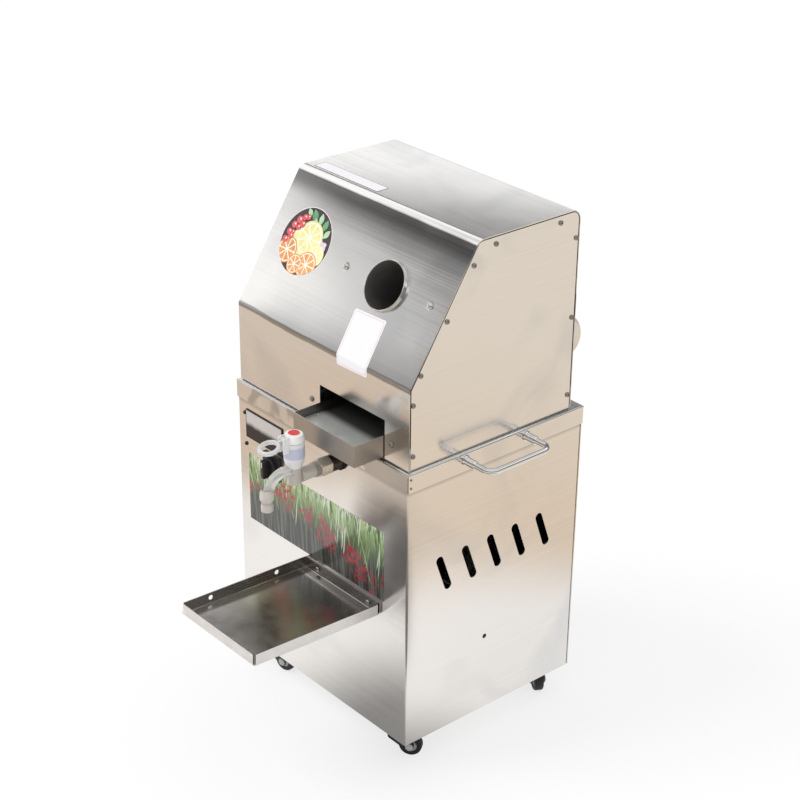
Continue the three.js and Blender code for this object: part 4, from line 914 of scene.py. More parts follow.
screwSet = {
    "radius": 4.0, "height": 2.8,
    "sideHoles": [(12.6, 510.5), (12.0, 593.6), (25.6, 637.1), (74.1, 708.2), (123.6, 781.6), (165.6, 804.4),
                  (295.4, 804.6), (329.5, 772.8), (329.1, 643.4), (328.8, 512.3)],
    "cornerMarks": [(4.5, 477.0), (4.5, 463.0)],
    "backHoles": [(x, z) for x in (-196, 196) for z in (14, 130, 246, 362, 446)] + [(-70, 14), (70, 14)],
}


def crossCutter(arm, half, low, high):
    bm = bmesh.new()
    verts = []
    for i in range(4):
        turn = Matrix.Rotation(math.pi / 2 * i, 4, "Z")
        corners = ((half, half, low), (half, arm, low), (-half, arm, low))
        verts += [bm.verts.new(turn @ Vector(corner)) for corner in corners]
    return outward(drawnOut(bm, [bm.faces.new(verts)], (0, 0, high - low)))


def panHead(radius, height):
    # Low dome with a cross in it, in millimetres
    profile = [(0, 0), (radius, 0), (radius, height * 0.35), (radius * 0.93, height * 0.68),
               (radius * 0.7, height * 0.92), (radius * 0.4, height), (0, height)]
    head = cutOut(makeObject(spun(profile, 20), "head"),
                  crossCutter(radius * 0.5, radius * 0.12, height * 0.45, height * 1.5))
    bm = bmesh.new()
    bm.from_mesh(head.data)
    bpy.data.objects.remove(head)
    return moved(bm, toFrame.inverted())


def screwsAt(name, places, radius, height, look=None):
    # Heads at pairs of place and direction
    head = panHead(radius, height)
    heads = []
    for i, (place, direction) in enumerate(places):
        turn = Matrix.Rotation(0.3 + 0.7 * i, 4, "Z")
        heads.append(moved(head.copy(), Matrix.Translation(place) @ axisTurn(direction) @ turn))
    head.free()
    return put(joined(*heads), name, look or screwSteel, (), 0.0, 40)


def makeScrews(s):
    half = hoodSet["width"] / 2 - hoodSet["inset"]
    for sign, name in ((1, "sideScrewsRight"), (-1, "sideScrewsLeft")):
        places = [(Vector((sign * half, y, z)), (sign, 0, 0)) for y, z in s["sideHoles"]]
        screwsAt(name, places, s["radius"], s["height"], dullScrew)
    places = [(Vector((x, 360, z)), (0, 1, 0)) for x, z in s["backHoles"]]
    screwsAt("backScrews", places, s["radius"], s["height"])
    places = [(Vector((lidSet["x"], y, z)), (1, 0, 0)) for y, z in s["cornerMarks"]]
    screwsAt("lidRivets", places, 2.0, 1.2, dullScrew)


makeScrews(screwSet)

boltSet = {"radius": 5.4, "height": 4.6, "washer": 6.6, "slope": [(-18.4, 122.7), (173.0, 122.8)],
           "frontShare": 0.76, "front": [(-21.1, 520.7), (167.7, 518.9)]}


def makeBolts(s):
    r, h, w = s["radius"], s["height"], s["washer"]
    profile = [(0, 0), (w, 0), (w, 0.9), (r, 1.0), (r, 1.6), (r * 0.92, h * 0.6), (r * 0.7, h * 0.85),
               (r * 0.38, h * 0.97), (0, h)]
    heads = [spunAt(profile, onSlope(x, up), outOfSlope, 32) for x, up in s["slope"]]
    put(joined(*heads), "domeBolts", brightBolt, (), 0.0, 40)
    small = [(radius * s["frontShare"], along * s["frontShare"]) for radius, along in profile]
    heads = [spunAt(small, Vector((x, hoodSet["front"], z)), (0, -1, 0), 32) for x, z in s["front"]]
    put(joined(*heads), "frontBolts", dullScrew, (), 0.0, 40)


makeBolts(boltSet)
print("screws and bolts made")

# Drip tray

dripSet = {"x": (-36.5, 148.5), "length": 240.5, "height": 20.0, "top": 235.0, "tilt": 2.0, "sheet": 1.5,
           "bend": 3.0, "notch": 6.0, "cutZ": (3.5, 30.0), "rearCut": (-4.4, -0.9), "holes": (0.25, 0.78),
           "holeRadius": 4.0, "holeHeight": 11.5, "gap": 0.3, "skin": 0.4,
           "screws": [(-3.7, -2.2, 11), (121.8, -2.2, 11)], "screw": (4.2, 2.6)}


def makeDripTray(s):
    x, y, z = s["x"], (-s["length"], 0.0), (0.0, s["height"])
    pan = openBox(x, y, z, True, s["bend"])
    tilt = Matrix.Rotation(-math.radians(s["tilt"]), 4, "X")
    lean = s["height"] * math.sin(math.radians(s["tilt"]))
    place = Matrix.Translation((0, -s["gap"] - lean, s["top"] - s["height"])) @ tilt
    piece = thicken(makeObject(moved(pan, place), "dripPan"), s["sheet"])
    n = s["notch"] / 2
    cutters = [block((edge - n, edge + n), (y[0] - n, y[0] + n), s["cutZ"]) for edge in x]
    cutters.append(block((x[1] - 4, x[1] + 4), s["rearCut"], s["cutZ"]))
    for share in s["holes"]:
        centre = (x[0], -share * s["length"], s["holeHeight"])
        cutters.append(drill(s["holeRadius"], centre, (1, 0, 0), 28, -6, 6))
    cutOut(piece, *[moved(cutter, place) for cutter in cutters])
    local, skin = (toFrame @ place).inverted(), s["skin"]
    # Pan steel on what faces up inside, painted light on the outer walls, painted shade on the inner walls,
    # and near-black painted shade on the faces of the corner cuts
    floorLook, outerLook, innerLook, cutLook = range(4)
    for polygon in piece.data.polygons:
        middle, normal = local @ polygon.center, local.to_3x3() @ polygon.normal
        normal.normalize()
        outside = middle.x > x[1] - skin or middle.x < x[0] + skin or middle.y < y[0] + skin
        sideCut = min(middle.x - x[0], x[1] - middle.x) < 2 * n and abs(normal.z) < 0.5
        cornerCut = sideCut and (middle.y - y[0] < 2 * n or middle.y > -5)
        inside = floorLook if normal.z > 0.5 else innerLook
        polygon.material_index = cutLook if cornerCut else outerLook if outside else inside
    looks = [panSteel, litWallSteel, innerSteel, cutShade]
    dress(piece, "main", looks, ["drip_tray"], 0.25, 20)
    screws = [(place @ Vector(point), (0, -1, 0)) for point in s["screws"]]
    screwsAt("dripTrayScrews", screws, *s["screw"])


makeDripTray(dripSet)

# Juice tray: four walls about a shallow floor, that slides through the hood's slot

juiceSet = {"x": (5.0, 150.0), "y": (-52.5, 257.5), "z": (490.6, 526.6), "lip": 14.0, "fall": 11.0,
            "sheet": 1.5, "drain": (75.0, 130.0, 12.0), "dimple": (9.0, -8.0, 2.6)}


def makeJuiceTray(s):
    (x0, x1), (y0, y1), (z0, z1) = s["x"], s["y"], s["z"]
    sheet = s["sheet"]
    walls = makeObject(block(s["x"], s["y"], s["z"]), "juiceWalls")
    front = z1 - s["lip"]
    inner = block((x0 + sheet, x1 - sheet), (y0 + sheet, y1 - sheet), (front, z1 + 5))
    lower = block((x0 + sheet, x1 - sheet), (y0 + sheet, y1 - sheet), (z0 - 5, front - sheet))
    for bm, level in ((inner, front), (lower, front - sheet)):
        for v in bm.verts:
            if abs(v.co.z - level) < 0.01 and v.co.y > 0:
                v.co.z -= s["fall"]
    x, y, radius = s["drain"]
    drain = drill(radius, (x, y, front), (0, 0, 1), 40, -60, 60)
    cutOut(walls, inner, lower, drain)
    low, high = at(x0 + 1, y0 + 1, 0), at(x1 - 1, 0, z1 - 5)
    for polygon in walls.data.polygons:
        inside = low.x < polygon.center.x < high.x and polygon.center.y > low.y
        floor = polygon.normal.z > 0.9 and polygon.center.z < high.z
        outer = not inside and abs(polygon.normal.z) < 0.5
        polygon.material_index = 1 if floor else 2 if inside and polygon.normal.x > 0.9 else 3 if outer else 0
    looks = [traySteel, trayFloor, shadedSteel, trayWall]
    dress(walls, "juice_tray", looks, ["juice_tray"], 0.5, 20)
    x, y, radius = s["dimple"]
    rivet = spunAt([(0, 0), (radius, 0), (radius * 0.8, 0.7), (0, 1.0)], (x, y, front - 1.7), (0, 0, 1), 20)
    put(rivet, "trayRivet", nutSteel, body="juice_tray")


makeJuiceTray(juiceSet)
print("trays made")

# Carrying handles

handleSet = {"rod": 5.0, "span": (113.0, 238.0), "height": 473.0, "foot": 211.9, "reach": 58.0, "bend": 15.0,
             "ferrule": (6.8, 22.0), "washer": (8.2, 2.4)}


def makeHandle(s, name, sign):
    foot, grip = sign * s["foot"], sign * (s["foot"] + s["reach"] - s["rod"])
    near, far = s["span"]
    corners = [(x, y, s["height"]) for x, y in ((foot, near), (grip, near), (grip, far), (foot, far))]
    parts = [rodAlong(rounded(corners, [s["bend"]] * 2, 10), s["rod"], 24)]
    radius, length = s["ferrule"]
    for y in s["span"]:
        w, t = s["washer"]
        profile = [(0, 0), (w, 0), (w, t - 0.5), (w - 0.6, t), (radius, t), (radius, length - 0.8),
                   (radius - 0.8, length), (0, length)]
        parts.append(spunAt(profile, (foot, y, s["height"]), (sign, 0, 0), 32))
    put(joined(*parts), name + "Rod", chrome, [name], 0.0, 30)


makeHandle(handleSet, "carry_handle_right", 1)
makeHandle(handleSet, "carry_handle_left", -1)
print("handles made")

# Meter and switch

meterSet = {"x": (-188.5, -92.5), "z": (390.5, 440.5), "face": -2.4, "rim": 1.4, "split": (413.0, 423.0),
            "body": 40.0, "bodyInset": (6.0, 3.5), "recess": 1.2, "paneGap": 0.2, "paneDepth": (0.3, 1.1),
            "screws": [(-192.6, 431.7), (-190.7, 376.2)]}


def windowMaterial(s):
    # Dark window, with haze over its upper part
    material, tree, coords = newMaterial("tintedWindow")
    [upward] = axesOf(tree, coords, 2)
    low, high = (at(0, 0, level).z for level in s["split"])
    cloud = noiseNode(tree, coords, 90.0, 3.0, 0.5)
    height = added(tree, upward, multiplied(tree, cloud, 0.004))
    haze = rangeNode(tree, height, low, high)
    colour = mixColour(tree, haze, (0.012, 0.009, 0.012, 1), (0.54, 0.50, 0.48, 1))
    rough = rangeNode(tree, cloud, 0.3, 0.7, 0.05, 0.12)
    surface(tree, {"Base Color": colour, "Roughness": rough})
    return material


def makeMeter(s):
    (x0, x1), (z0, z1) = s["x"], s["z"]
    rim = s["rim"]
    bezel = block(s["x"], (s["face"], -0.2), s["z"])
    bevelEdges(bezel, [e for e in bezel.edges if all(v.co.y < -2 for v in e.verts)], 1.2, 3)
    bezel = makeObject(bezel, "meterBezel")
    cutOut(bezel, block((x0 + rim, x1 - rim), (-10, s["face"] + s["recess"]), (z0 + rim, z1 - rim)))
    dress(bezel, "main", blackPlastic, ["meter_housing"], 0.2)
    dx, dz = s["bodyInset"]
    case = block((x0 + dx, x1 - dx), (-0.5, s["body"]), (z0 + dz, z1 - dz))
    put(case, "meterCase", blackPlastic, (), 0.6)
    edge, (near, far) = rim + s["paneGap"], s["paneDepth"]
    pane = block((x0 + edge, x1 - edge), (s["face"] + near, s["face"] + far), (z0 + edge, z1 - edge))
    put(pane, "meterPane", windowMaterial(s), ["meter_window"], 0.15)
    places = [(Vector((x, 0, z)), (0, -1, 0)) for x, z in s["screws"]]
    screwsAt("meterScrews", places, 3.4, 2.4, castorBlack)


makeMeter(meterSet)

switchSet = {"centre": (-122.0, 362.5), "size": 44.0, "face": -3.3, "neck": 11.0, "knob": 17.0, "gap": 0.4,
             "depth": 18.0, "grip": (4.2, 15.5), "mark": (0.7, 4.0, 13.5)}


def makeSwitch(s):
    x, z = s["centre"]
    half = s["size"] / 2
    plate = block((x - half, x + half), (s["face"], -0.2), (z - half, z + half))
    bevelEdges(plate, edgesAlong(plate, 1), 4.0, 4)
    neck = drill(s["neck"], (x, -0.5, z), (0, 1, 0), 32, -1, 40)
    put(joined(plate, neck), "switchPlate", blackPlastic, ["switch_body"], 0.4)
    back = s["face"] - s["gap"]
    end = back - s["depth"]
    third = s["depth"] / 3
    skirt = [(0, 0), (s["knob"], 0), (s["knob"], third - 1.2), (s["knob"] - 1.2, third), (0, third)]
    knob = spunAt(skirt, (x, back, z), (0, -1, 0), 48)
    w, h = s["grip"]
    bar = block((x - w, x + w), (end, back - third + 1), (z - h, z + h))
    bevelEdges(bar, [e for e in bar.edges if all(v.co.y < end + 1 for v in e.verts)], 1.6, 3)
    w, low, high = s["mark"]
    mark = block((x - w, x + w), (end - 0.2, end + 0.4), (z + low, z + high))
    body = "switch_knob"
    put(joined(knob, bar), "switchKnob", blackPlastic, [body], 0.3, body=body)
    put(mark, "switchMark", whitePlastic, body=body)


makeSwitch(switchSet)
print("meter and switch made")

# Tap

tapSet = {
    "x": 50.0, "y": -86.0, "pipeHeight": 445.6, "bottom": 435.6, "top": 507.6, "seam": 0.3,
    "nutFront": -43.0, "nutLength": 20.0, "nutRadius": 16.0, "nutCollar": (11.3, 13.5, -23.2, -3.6),
    "threads": (8, -52.0, 1.7), "ears": (6.05, 1.25, (-4, 8), (-22, 4)), "pin": (1.6, 7.2),
    # Radius and height, from the bottom for the wall, the stem and the band, and from the top for the cap
    "outer": [(0, 0), (9, 0), (10.4, 1), (11, 3), (11, 26), (11.6, 29), (13, 33), (15.4, 40), (16, 45)],
    "inner": [(13.4, 44), (12.6, 40), (10.2, 34), (8.4, 28), (8.2, 5), (0, 4)],
    "stem": [(0, 8), (4.4, 8), (4.4, 30), (2.6, 34), (2.6, 68), (0, 68)],
    "band": [(16.0, 46.4), (16.25, 46.7), (16.25, 64.1), (16.0, 64.4), (16.0, 46.4)],
    "cap": [(0, 0), (15.7, 0), (15.7, 5), (15.2, 8), (13.6, 11.2), (10, 12.1), (9.2, 11.9), (9, 12.7),
            (0, 12.7)],
    "disc": (8.8, 12.6, 13.0), "pipeLook": 31.0, "pipe": (8, 11, 9, 110),
    "guide": [(0, -6, 12), (0, -22, 16), (0, -39, 9), (0, -48, -5)], "spoutBend": -14.0,
    "spoutEnd": (50.0, -138.0, 407.6), "spout": 8.0, "collarRise": 22.0,
    "collar": [(8.2, -6), (9, -6), (11, -3), (11, 8), (9.4, 11), (8.2, 13), (8.2, -6)],
    "tip": [(6, 0), (9.5, 0), (9.5, 8), (8.6, 11), (7.6, 12), (6, 12), (6, 0)],
    "pivot": (50.0, -106.5, 515.6), "ring": 14.6, "ringRod": 3.6, "reach": 26.0, "tilt": 13.0,
}


def makeTap(s):
    x, y, b = s["x"], s["y"], s["bottom"]
    rim = s["top"] - s["seam"] - b
    body = spunAt(s["outer"] + [(16, rim), (13.4, rim)] + s["inner"], (x, y, b), steps=64)
    root = Vector((x, y, s["pipeHeight"]))
    pipe = pipeAt(*s["pipe"], root, (0, 1, 0), 40)
    end = Vector(s["spoutEnd"])
    guide = [root + Vector(offset) for offset in s["guide"]]
    path = smoothPath(guide + [Vector((x, end.y, s["pipeHeight"] + s["spoutBend"])), end], 40)
    spoutShell = rodAlong(path, s["spout"], 28)
    collar = spunAt(s["collar"], (x, end.y, end.z + s["collarRise"]), steps=40)
    tip = spunAt(s["tip"], end, steps=40)
    ears = []
    offset, half, earY, earZ = s["ears"]
    for middle in (-offset, offset):
        ear = shifted(block((middle - half, middle + half), earY, earZ), *s["pivot"])
        ears.append(bevelEdges(ear, edgesAlong(ear, 0), 2.6, 4))
    radius, reach = s["pin"]
    pin = drill(radius, s["pivot"], (1, 0, 0), 20, -reach, reach)
    moulding = makeObject(joined(body, pipe, collar, tip, pin, *ears), "tapMoulding")
    low = at(0, 0, b + s["pipeLook"]).z
    for polygon in moulding.data.polygons:
        polygon.material_index = int(polygon.center.z < low)
    dress(moulding, "main", [clear, clearPipe], ["tap_body"], 0.0, 40)
    put(spoutShell, "tapSpout", clearSpout, (), 0.0, 40)
    # Coloured band outside the wall, and the stem seen through it
    put(spunAt(s["band"], (x, y, b), steps=64), "tapBand", clearBand)
    put(spunAt(s["stem"], (x, y, b), steps=32), "tapStem", whitePlastic)
    top = (x, y, s["top"] + s["seam"])
    put(spunAt(s["cap"], top, steps=64), "tapCap", whitePlastic, ["tap_cap"], 0.0, 30)
    radius, low, high = s["disc"]
    button = drill(radius, top, (0, 0, 1), 48, low, high)
    disc = put(button, "tapRedDisc", redPlastic)
    disc.visible_glossy = False


def smoothPath(guide, count):
    # Even curve through the guide points
    ends = [guide[0] * 2 - guide[1]] + guide + [guide[-1] * 2 - guide[-2]]
    path = []
    for i in range(count + 1):
        t = i / count * (len(guide) - 1)
        k = min(int(t), len(guide) - 2)
        f = t - k
        a, b, c, d = ends[k:k + 4]
        path.append(0.5 * ((2 * b) + (c - a) * f + (2 * a - 5 * b + 4 * c - d) * f ** 2
                           + (3 * b - a - 3 * c + d) * f ** 3))
    return path


def makeTapLever(s):
    tilt = Matrix.Translation(s["pivot"]) @ Matrix.Rotation(math.radians(s["tilt"]), 4, "X")
    points = []
    for i in range(49):
        angle = 2 * math.pi * i / 48
        points.append(Vector((s["ring"] * math.sin(angle), -s["reach"] - s["ring"] * math.cos(angle), 0)))
    hoop = rodAlong(points, s["ringRod"], 20)
    arm = block((-3, 3), (-s["reach"] + s["ring"] - 1.5, -1.5), (-1.6, 1.6))
    bevelEdges(arm, list(arm.edges), 0.8, 2)
    hub = pipeAt(2.0, 4.0, -4.5, 4.5, (0, 0, 0), (1, 0, 0), 28)
    lever = moved(joined(hoop, arm, hub), tilt)
    put(lever, "tapRingLever", clearRing, ["tap_lever"], 0.0, 40, "tap_lever")


def makeTapNut(s):
    centre = (s["x"], 0, s["pipeHeight"])
    nut = bmesh.new()
    bmesh.ops.create_circle(nut, cap_ends=True, cap_tris=False, radius=s["nutRadius"], segments=6)
    nut = outward(drawnOut(nut, list(nut.faces), (0, 0, s["nutLength"])))
    bevelEdges(nut, edgesAlong(nut, 2), 1.2, 3)
    nut = moved(nut, Matrix.Translation((s["x"], s["nutFront"], s["pipeHeight"])) @ axisTurn((0, 1, 0)))
    collar = pipeAt(*s["nutCollar"], centre, (0, 1, 0), 40)
    nut = makeObject(nut, "tapHexNut")
    cutOut(nut, drill(s["nutCollar"][0], centre, (0, 1, 0), 40, -60, 60))
    dress(nut, "main", nutSteel, ["tap_nut"], 0.3)
    put(collar, "tapNutCollar", darkNut, (), 0.2)
    thread = [(11.1, 0), (11.9, 0.75), (11.1, 1.5), (11.1, 0)]
    count, first, pitch = s["threads"]
    places = [(s["x"], first + pitch * i, s["pipeHeight"]) for i in range(count)]
    threads = [spunAt(thread, place, (0, 1, 0), 40) for place in places]
    put(joined(*threads), "tapThread", threadShade)


makeTap(tapSet)
makeTapLever(tapSet)
makeTapNut(tapSet)
print("tap made")

# Castors

castorSet = {
    "front_right": (160, 28, 35), "front_left": (-160, 28, 10),
    "rear_right": (160, 332, -30), "rear_left": (-160, 332, -24),
}
forkSet = {"trail": 22.0, "axle": -31.0, "wheel": 19.0, "width": 17.0, "inside": 9.7, "sheet": 2.0,
           "crown": -10.2, "head": -5.2}


def makeCastor(name, x, y, heading, s):
    place = Matrix.Translation((x, y, 0)) @ Matrix.Rotation(math.radians(heading), 4, "Z")
    axle = Vector((s["trail"], 0, s["axle"]))
    cheeks = []
    for side in (-1, 1):
        outline = [(-14, s["crown"]), (14, s["crown"]), (s["trail"] + 8, s["axle"] + 7),
                   (s["trail"] + 6, s["axle"] - 6), (s["trail"] - 5, s["axle"] - 7), (-14, s["crown"] - 7)]
        bm = bmesh.new()
        y0 = side * s["inside"]
        face = bm.faces.new([bm.verts.new((px, y0, pz)) for px, pz in outline])
        bm = outward(drawnOut(bm, [face], (0, side * s["sheet"], 0)))
        cheeks.append(bevelEdges(bm, edgesAlong(bm, 1), 3.0, 4))
    half = s["inside"] + s["sheet"]
    crown = block((-14, 14), (-half, half), (s["crown"] - s["sheet"], s["crown"]))
    head = spun([(4.4, s["crown"] - 1), (14.4, s["crown"] - 1), (14.4, s["crown"] + 1), (12.6, s["head"]),
                 (4.4, s["head"]), (4.4, s["crown"] - 1)], 40)
    pin = [(0, half + 2.2), (5.2, half + 2), (6.4, half + 1.2), (6.4, half), (3, half)]
    pin = spunAt(bothEnds(pin), axle, (0, 1, 0), 28)
    fork, body = moved(joined(*cheeks, crown, head), place), f"fork_{name}"
    put(fork, f"castorFork_{name}", castorBlack, [f"castor_fork_{name}"], 0.3, body=body)
    put(moved(pin, place), f"castorAxle_{name}", hubGrey, body=body)
    w, r = s["width"] / 2, s["wheel"]
    tread = [(11.5, w - 0.6), (r - 3, w - 0.6), (r - 1.2, w - 1.4), (r - 0.3, w - 3), (r, w - 5)]
    tread = bothEnds(tread) + [(11.5, -w + 0.6)]
    hub = bothEnds([(3.4, w), (6.5, w), (7, w - 2), (11.4, w - 2)]) + [(3.4, -w)]
    wheel, body = moved(spunAt(tread, axle, (0, 1, 0), 48), place), f"wheel_{name}"
    put(wheel, f"castorWheel_{name}", tyreBlack, [f"castor_wheel_{name}"], 0.0, 40, body)
    hub = moved(spunAt(hub, axle, (0, 1, 0), 40), place)
    put(hub, f"castorHub_{name}", hubGrey, (), 0.3, body=body)


for name, (x, y, heading) in castorSet.items():
    makeCastor(name, x, y, heading, forkSet)
print("castors made")

# Stickers

labelSet = {"x": (-185.0, 157.0), "z": (240.0, 362.0), "thick": 0.25, "turn": 0.45}


def grassMaterial(s):
    material, tree, coords = newMaterial("grassPrint")
    [upward] = axesOf(tree, coords, 2)
    low, high = (at(0, 0, level).z for level in s["z"])
    height = rangeNode(tree, upward, low, high, smooth=False)
    colour = rampNode(tree, height, [
        (0.0, (0.03, 0.03, 0.028)), (0.4, (0.045, 0.05, 0.04)), (0.62, (0.10, 0.15, 0.07)),
        (0.85, (0.30, 0.42, 0.2)), (1.0, (0.66, 0.70, 0.58)),
    ])
    # Blades in four layers: lean, scale across and along, offset and colour
    layers = [(0.16, 260, 16, 0.35, (0.09, 0.15, 0.05)), (-0.22, 230, 14, 0.1, (0.20, 0.32, 0.11)),
              (0.34, 210, 13, 0.7, (0.38, 0.50, 0.22)), (-0.1, 240, 11, 0.5, (0.66, 0.70, 0.54))]
    for i, (lean, across, along, offset, blade) in enumerate(layers):
        turned = mapped(tree, coords, turn=(0, lean, 0))
        stretched = mapped(tree, turned, (across, 1, along), move=(offset * 7, 0, offset * 3))
        noise = noiseNode(tree, stretched, 1.0, 1.5, 0.5, 0.4)
        limit = rangeNode(tree, height, 0.05, 1.0, 0.74, 0.49 + 0.02 * i, False)
        mask = rangeNode(tree, mathNode(tree, "SUBTRACT", noise, limit), 0.0, 0.05)
        colour = mixColour(tree, mask, colour, (*blade, 1))
    # Faint blades low down
    turned = mapped(tree, coords, turn=(0, 0.08, 0))
    faint = noiseNode(tree, mapped(tree, turned, (170, 1, 9)), 1.0, 2.0, 0.5, 0.3)
    faint = multiplied(tree, rangeNode(tree, faint, 0.46, 0.62), rangeNode(tree, height, 0.75, 0.45))
    colour = mixColour(tree, multiplied(tree, faint, 0.7), colour, (0.15, 0.16, 0.145, 1))
    # Small red flowers, in a belt that rises and falls
    clusters = noiseNode(tree, mapped(tree, coords, (30, 1, 26)), 1.0, 1.0, 0.5)
    petals = noiseNode(tree, mapped(tree, coords, (150, 1, 125)), 1.0, 2.0, 0.5, 0.6)
    drift = noiseNode(tree, mapped(tree, coords, (11, 1, 1)), 1.0, 1.0, 0.5)
    level = added(tree, height, rangeNode(tree, drift, 0.3, 0.7, -0.3, 0.3))
    belt = multiplied(tree, rangeNode(tree, level, 0.2, 0.36), rangeNode(tree, level, 0.76, 0.58))
    bloom = multiplied(tree, rangeNode(tree, clusters, 0.44, 0.54), rangeNode(tree, petals, 0.46, 0.54))
    colour = mixColour(tree, multiplied(tree, bloom, belt), colour, (0.40, 0.035, 0.05, 1))
    rough = rangeNode(tree, noiseNode(tree, coords, 300.0, 2.0, 0.5), 0.3, 0.7, 0.12, 0.2)
    surface(tree, {"Base Color": colour, "Roughness": rough, "Coat Weight": 0.35, "Coat Roughness": 0.1})
    return material


def makeLabel(s):
    sheet = block(s["x"], (-s["thick"], -0.02), s["z"])
    left = Matrix.Translation((s["x"][0], 0, s["z"][0]))
    sheet = moved(sheet, left @ Matrix.Rotation(-math.radians(s["turn"]), 4, "Y") @ left.inverted())
    put(sheet, "grassLabel", grassMaterial(s), (), 0.05)


makeLabel(labelSet)

plainSet = {"centre": (73.5, 29.5), "size": (70.0, 90.0), "turn": 2.0, "corner": 3.5, "thick": 0.15,
            "border": 2.4, "edge": 2.4}


def roundedPlate(width, height, corner, thick, steps=6):
    bm = bmesh.new()
    bmesh.ops.create_grid(bm, x_segments=1, y_segments=1, size=0.5)
    bmesh.ops.scale(bm, vec=(width, height, 1), verts=bm.verts)
    bmesh.ops.bevel(bm, geom=list(bm.verts), offset=corner, offset_type="OFFSET", affect="VERTICES",
                    segments=steps, profile=0.5, material=-1)
    return outward(drawnOut(bm, list(bm.faces), (0, 0, thick)))


def overKink(bm):
    # Lays a plate drawn flat on the slope, and folds what reaches past the kink onto the front
    for up in (-1.5, 0.0, 1.5):
        everything = list(bm.verts) + list(bm.edges) + list(bm.faces)
        bmesh.ops.bisect_plane(bm, geom=everything, plane_co=(0, up, 0), plane_no=(0, 1, 0))
    for v in bm.verts:
        x, up, out = v.co
        down = Vector((x, hoodSet["front"] - out, hoodSet["kink"] + up))
        v.co = onSlope(x, up, out) if up > 1 else down if up < -1 else (onSlope(x, up, out) + down) / 2
    return bm


paper = plainLook("stickerWhite", (0.86, 0.85, 0.87), 0.3, 0.03, 30.0, 0.01, 0.0)
pinkEdge = plainLook("stickerPink", (0.78, 0.62, 0.64), 0.3, 0.08, 30.0, 0.01, 0.0)


def makeBlankSticker(s):
    w, h = s["size"]
    place = Matrix.Translation((*s["centre"], 0)) @ Matrix.Rotation(math.radians(s["turn"]), 4, "Z")
    for name, look, inset, out in (
            ("stickerBase", paper, 0.0, 0.0), ("stickerEdge", pinkEdge, 2 * s["border"], 0.12),
            ("stickerFace", paper, 2 * s["border"] + s["edge"], 0.2)):
        plate = shifted(roundedPlate(w - inset, h - inset, s["corner"], s["thick"]), z=out)
        put(overKink(moved(plate, place)), name, look)


makeBlankSticker(plainSet)

fruitSet = {
    "centre": (-123.2, 130.4), "radius": 55.5, "drawnRadius": 49.0, "rim": 1.2, "thick": 0.14, "step": 0.012,
    "leaves": [(-2, 37, 20, 0), (12, 36, 17, 1), (24, 30, 18, 0), (33, 20, 16, 1), (4, 28, 15, 1),
               (-14, 39, 14, 1)],
    "berries": [(-27, 24, 5.5), (-19, 30, 4.5), (-33, 15, 5.0), (-24, 14, 4.2), (-37, 4, 4.6), (-39, -8, 5.2),
                (-30, 5, 3.6), (-18, 20, 5.0), (-31, -1, 4.6), (-12, 32, 4.0)],
    "slices": [(-12, -6, 20, 0, 9), (5, 6, 25, 0, 9), (30, -12, 15, 0, 7), (-27, -20, 19, 1, 8),
               (20, -29, 19, 1, 8), (-2, -34, 14, 1, 7)],
    "petals": [(33, 4, 9, 0.4), (37, -3, 8, 1.2), (28, 8, 7, 2.4)],
}
# Name, colour, mottle and scale of each print colour
fruitColours = [
    ("printPale", (0.88, 0.80, 0.74), 0.05, 60.0), ("printGround", (0.06, 0.045, 0.055), 0.3, 60.0),
    ("printYellow", (0.90, 0.80, 0.36), 0.2, 140.0), ("printOrange", (0.72, 0.33, 0.12), 0.35, 140.0),
    ("printLeaf", (0.16, 0.40, 0.20), 0.25, 140.0), ("printLightLeaf", (0.46, 0.70, 0.42), 0.15, 140.0),
    ("printRed", (0.72, 0.12, 0.13), 0.2, 140.0), ("printPith", (0.92, 0.90, 0.78), 0.04, 140.0),
    ("printLilac", (0.72, 0.62, 0.76), 0.12, 140.0),
]
fruitLooks = [
    plainLook(name, colour, 0.3, mottle, scale, 0.01, 0.0) for name, colour, mottle, scale in fruitColours
]
pale, ground, yellow, leaf, red, pith, lilac = 0, 1, 2, 4, 6, 7, 8


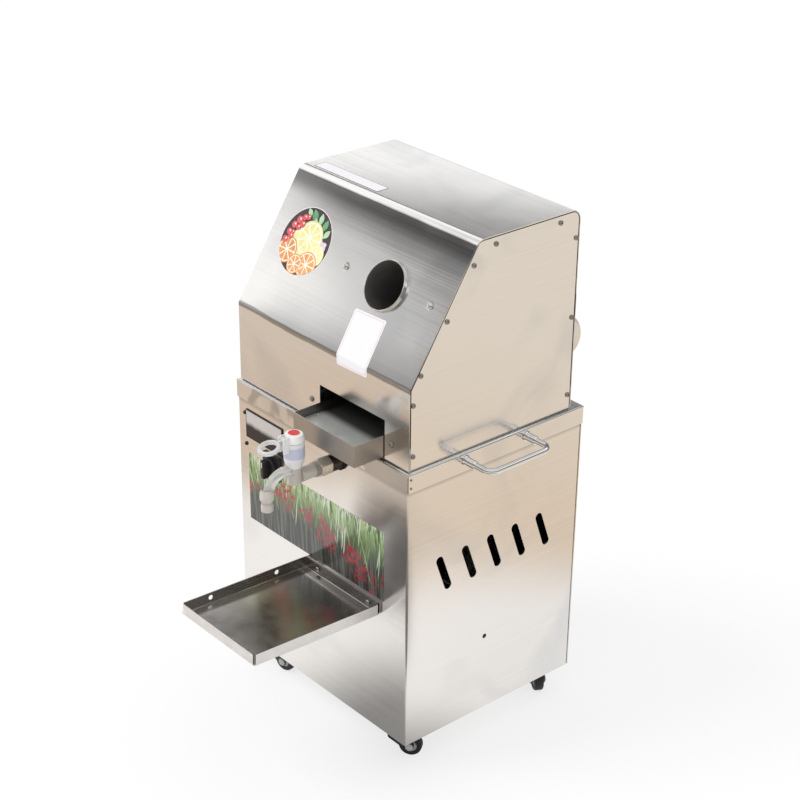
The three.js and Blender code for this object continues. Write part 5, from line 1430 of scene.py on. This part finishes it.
def makeFruitSticker(s):
    bm = bmesh.new()
    rim = s["radius"] - s["rim"]
    grow = s["radius"] / s["drawnRadius"]
    layer = [s["thick"]]

    def patch(points, look):
        layer[0] += s["step"]
        known = set(bm.faces)
        inside = [Vector(p) * min(grow, rim / max(Vector(p).length, 0.001)) for p in points]
        face = bm.faces.new([bm.verts.new((*p, 0)) for p in inside])
        face.normal_update()
        if face.normal.z < 0:
            face.normal_flip()
        drawnOut(bm, [face], (0, 0, layer[0]))
        for item in bm.faces:
            if item not in known:
                item.material_index = look

    def ring(x, y, radius, count=28, start=0.0, share=1.0):
        return [(x + radius * math.cos(start + share * 2 * math.pi * i / count),
                 y + radius * math.sin(start + share * 2 * math.pi * i / count)) for i in range(count)]

    patch(ring(0, 0, rim, 72), ground)
    for x, y, length, kind in s["leaves"]:
        angle = math.atan2(y, x) + 0.5
        along = Vector((math.cos(angle), math.sin(angle)))
        side = Vector((-along.y, along.x))
        outline = []
        for sign, steps in ((1, range(0, 12)), (-1, range(12, 0, -1))):
            for t in (step / 12 for step in steps):
                width = sign * length * 0.27 * math.sin(math.pi * t)
                outline.append(Vector((x, y)) + along * length * (t - 0.5) + side * width)
        patch(outline, leaf + kind)
    for x, y, length, angle in s["petals"]:
        turn = Matrix.Rotation(angle, 2)
        oval = [Vector((px, py * 0.5)) for px, py in ring(0, 0, length, 20)]
        patch([Vector((x, y)) + turn @ point for point in oval], lilac)
    for x, y, radius, kind, wedges in s["slices"]:
        patch(ring(x, y, radius, 36), yellow + kind)
        patch(ring(x, y, radius * 0.9, 36), pith)
        for i in range(wedges):
            start, share = 2 * math.pi * (i + 0.08) / wedges, 0.84 / wedges
            middle = start + share * math.pi
            tip = (x + radius * 0.12 * math.cos(middle), y + radius * 0.12 * math.sin(middle))
            patch([tip] + ring(x, y, radius * 0.82, 8, start, share * 8 / 7), yellow + kind)
    for x, y, radius in s["berries"]:
        patch(ring(x, y, radius, 20), red)
        patch(ring(x + radius * 0.25, y + radius * 0.3, radius * 0.3, 10), pale)
    base = spun([(0, 0), (s["radius"], 0), (s["radius"], s["thick"]), (0, s["thick"])], 72)
    whole = joined(base, bm)
    put(moved(whole, slopeAt(*s["centre"])), "fruitSticker", fruitLooks)


makeFruitSticker(fruitSet)

stripSet = {"x": (-189.0, -36.0), "y": (144.0, 168.0), "line": 0.9}


def makeStrip(s):
    (x0, x1), (y0, y1) = s["x"], s["y"]
    top = hoodSet["top"]
    for name, look, line, corner, thick, out in (
            ("stripEdge", blackPlastic, 0.0, 1.5, 0.2, 0.0), ("stripFace", paper, s["line"], 1.2, 0.1, 0.18)):
        plate = roundedPlate(x1 - x0 - 2 * line, y1 - y0 - 2 * line, corner, thick)
        put(shifted(plate, (x0 + x1) / 2, (y0 + y1) / 2, top + out), name, look)


makeStrip(stripSet)
print("stickers made")
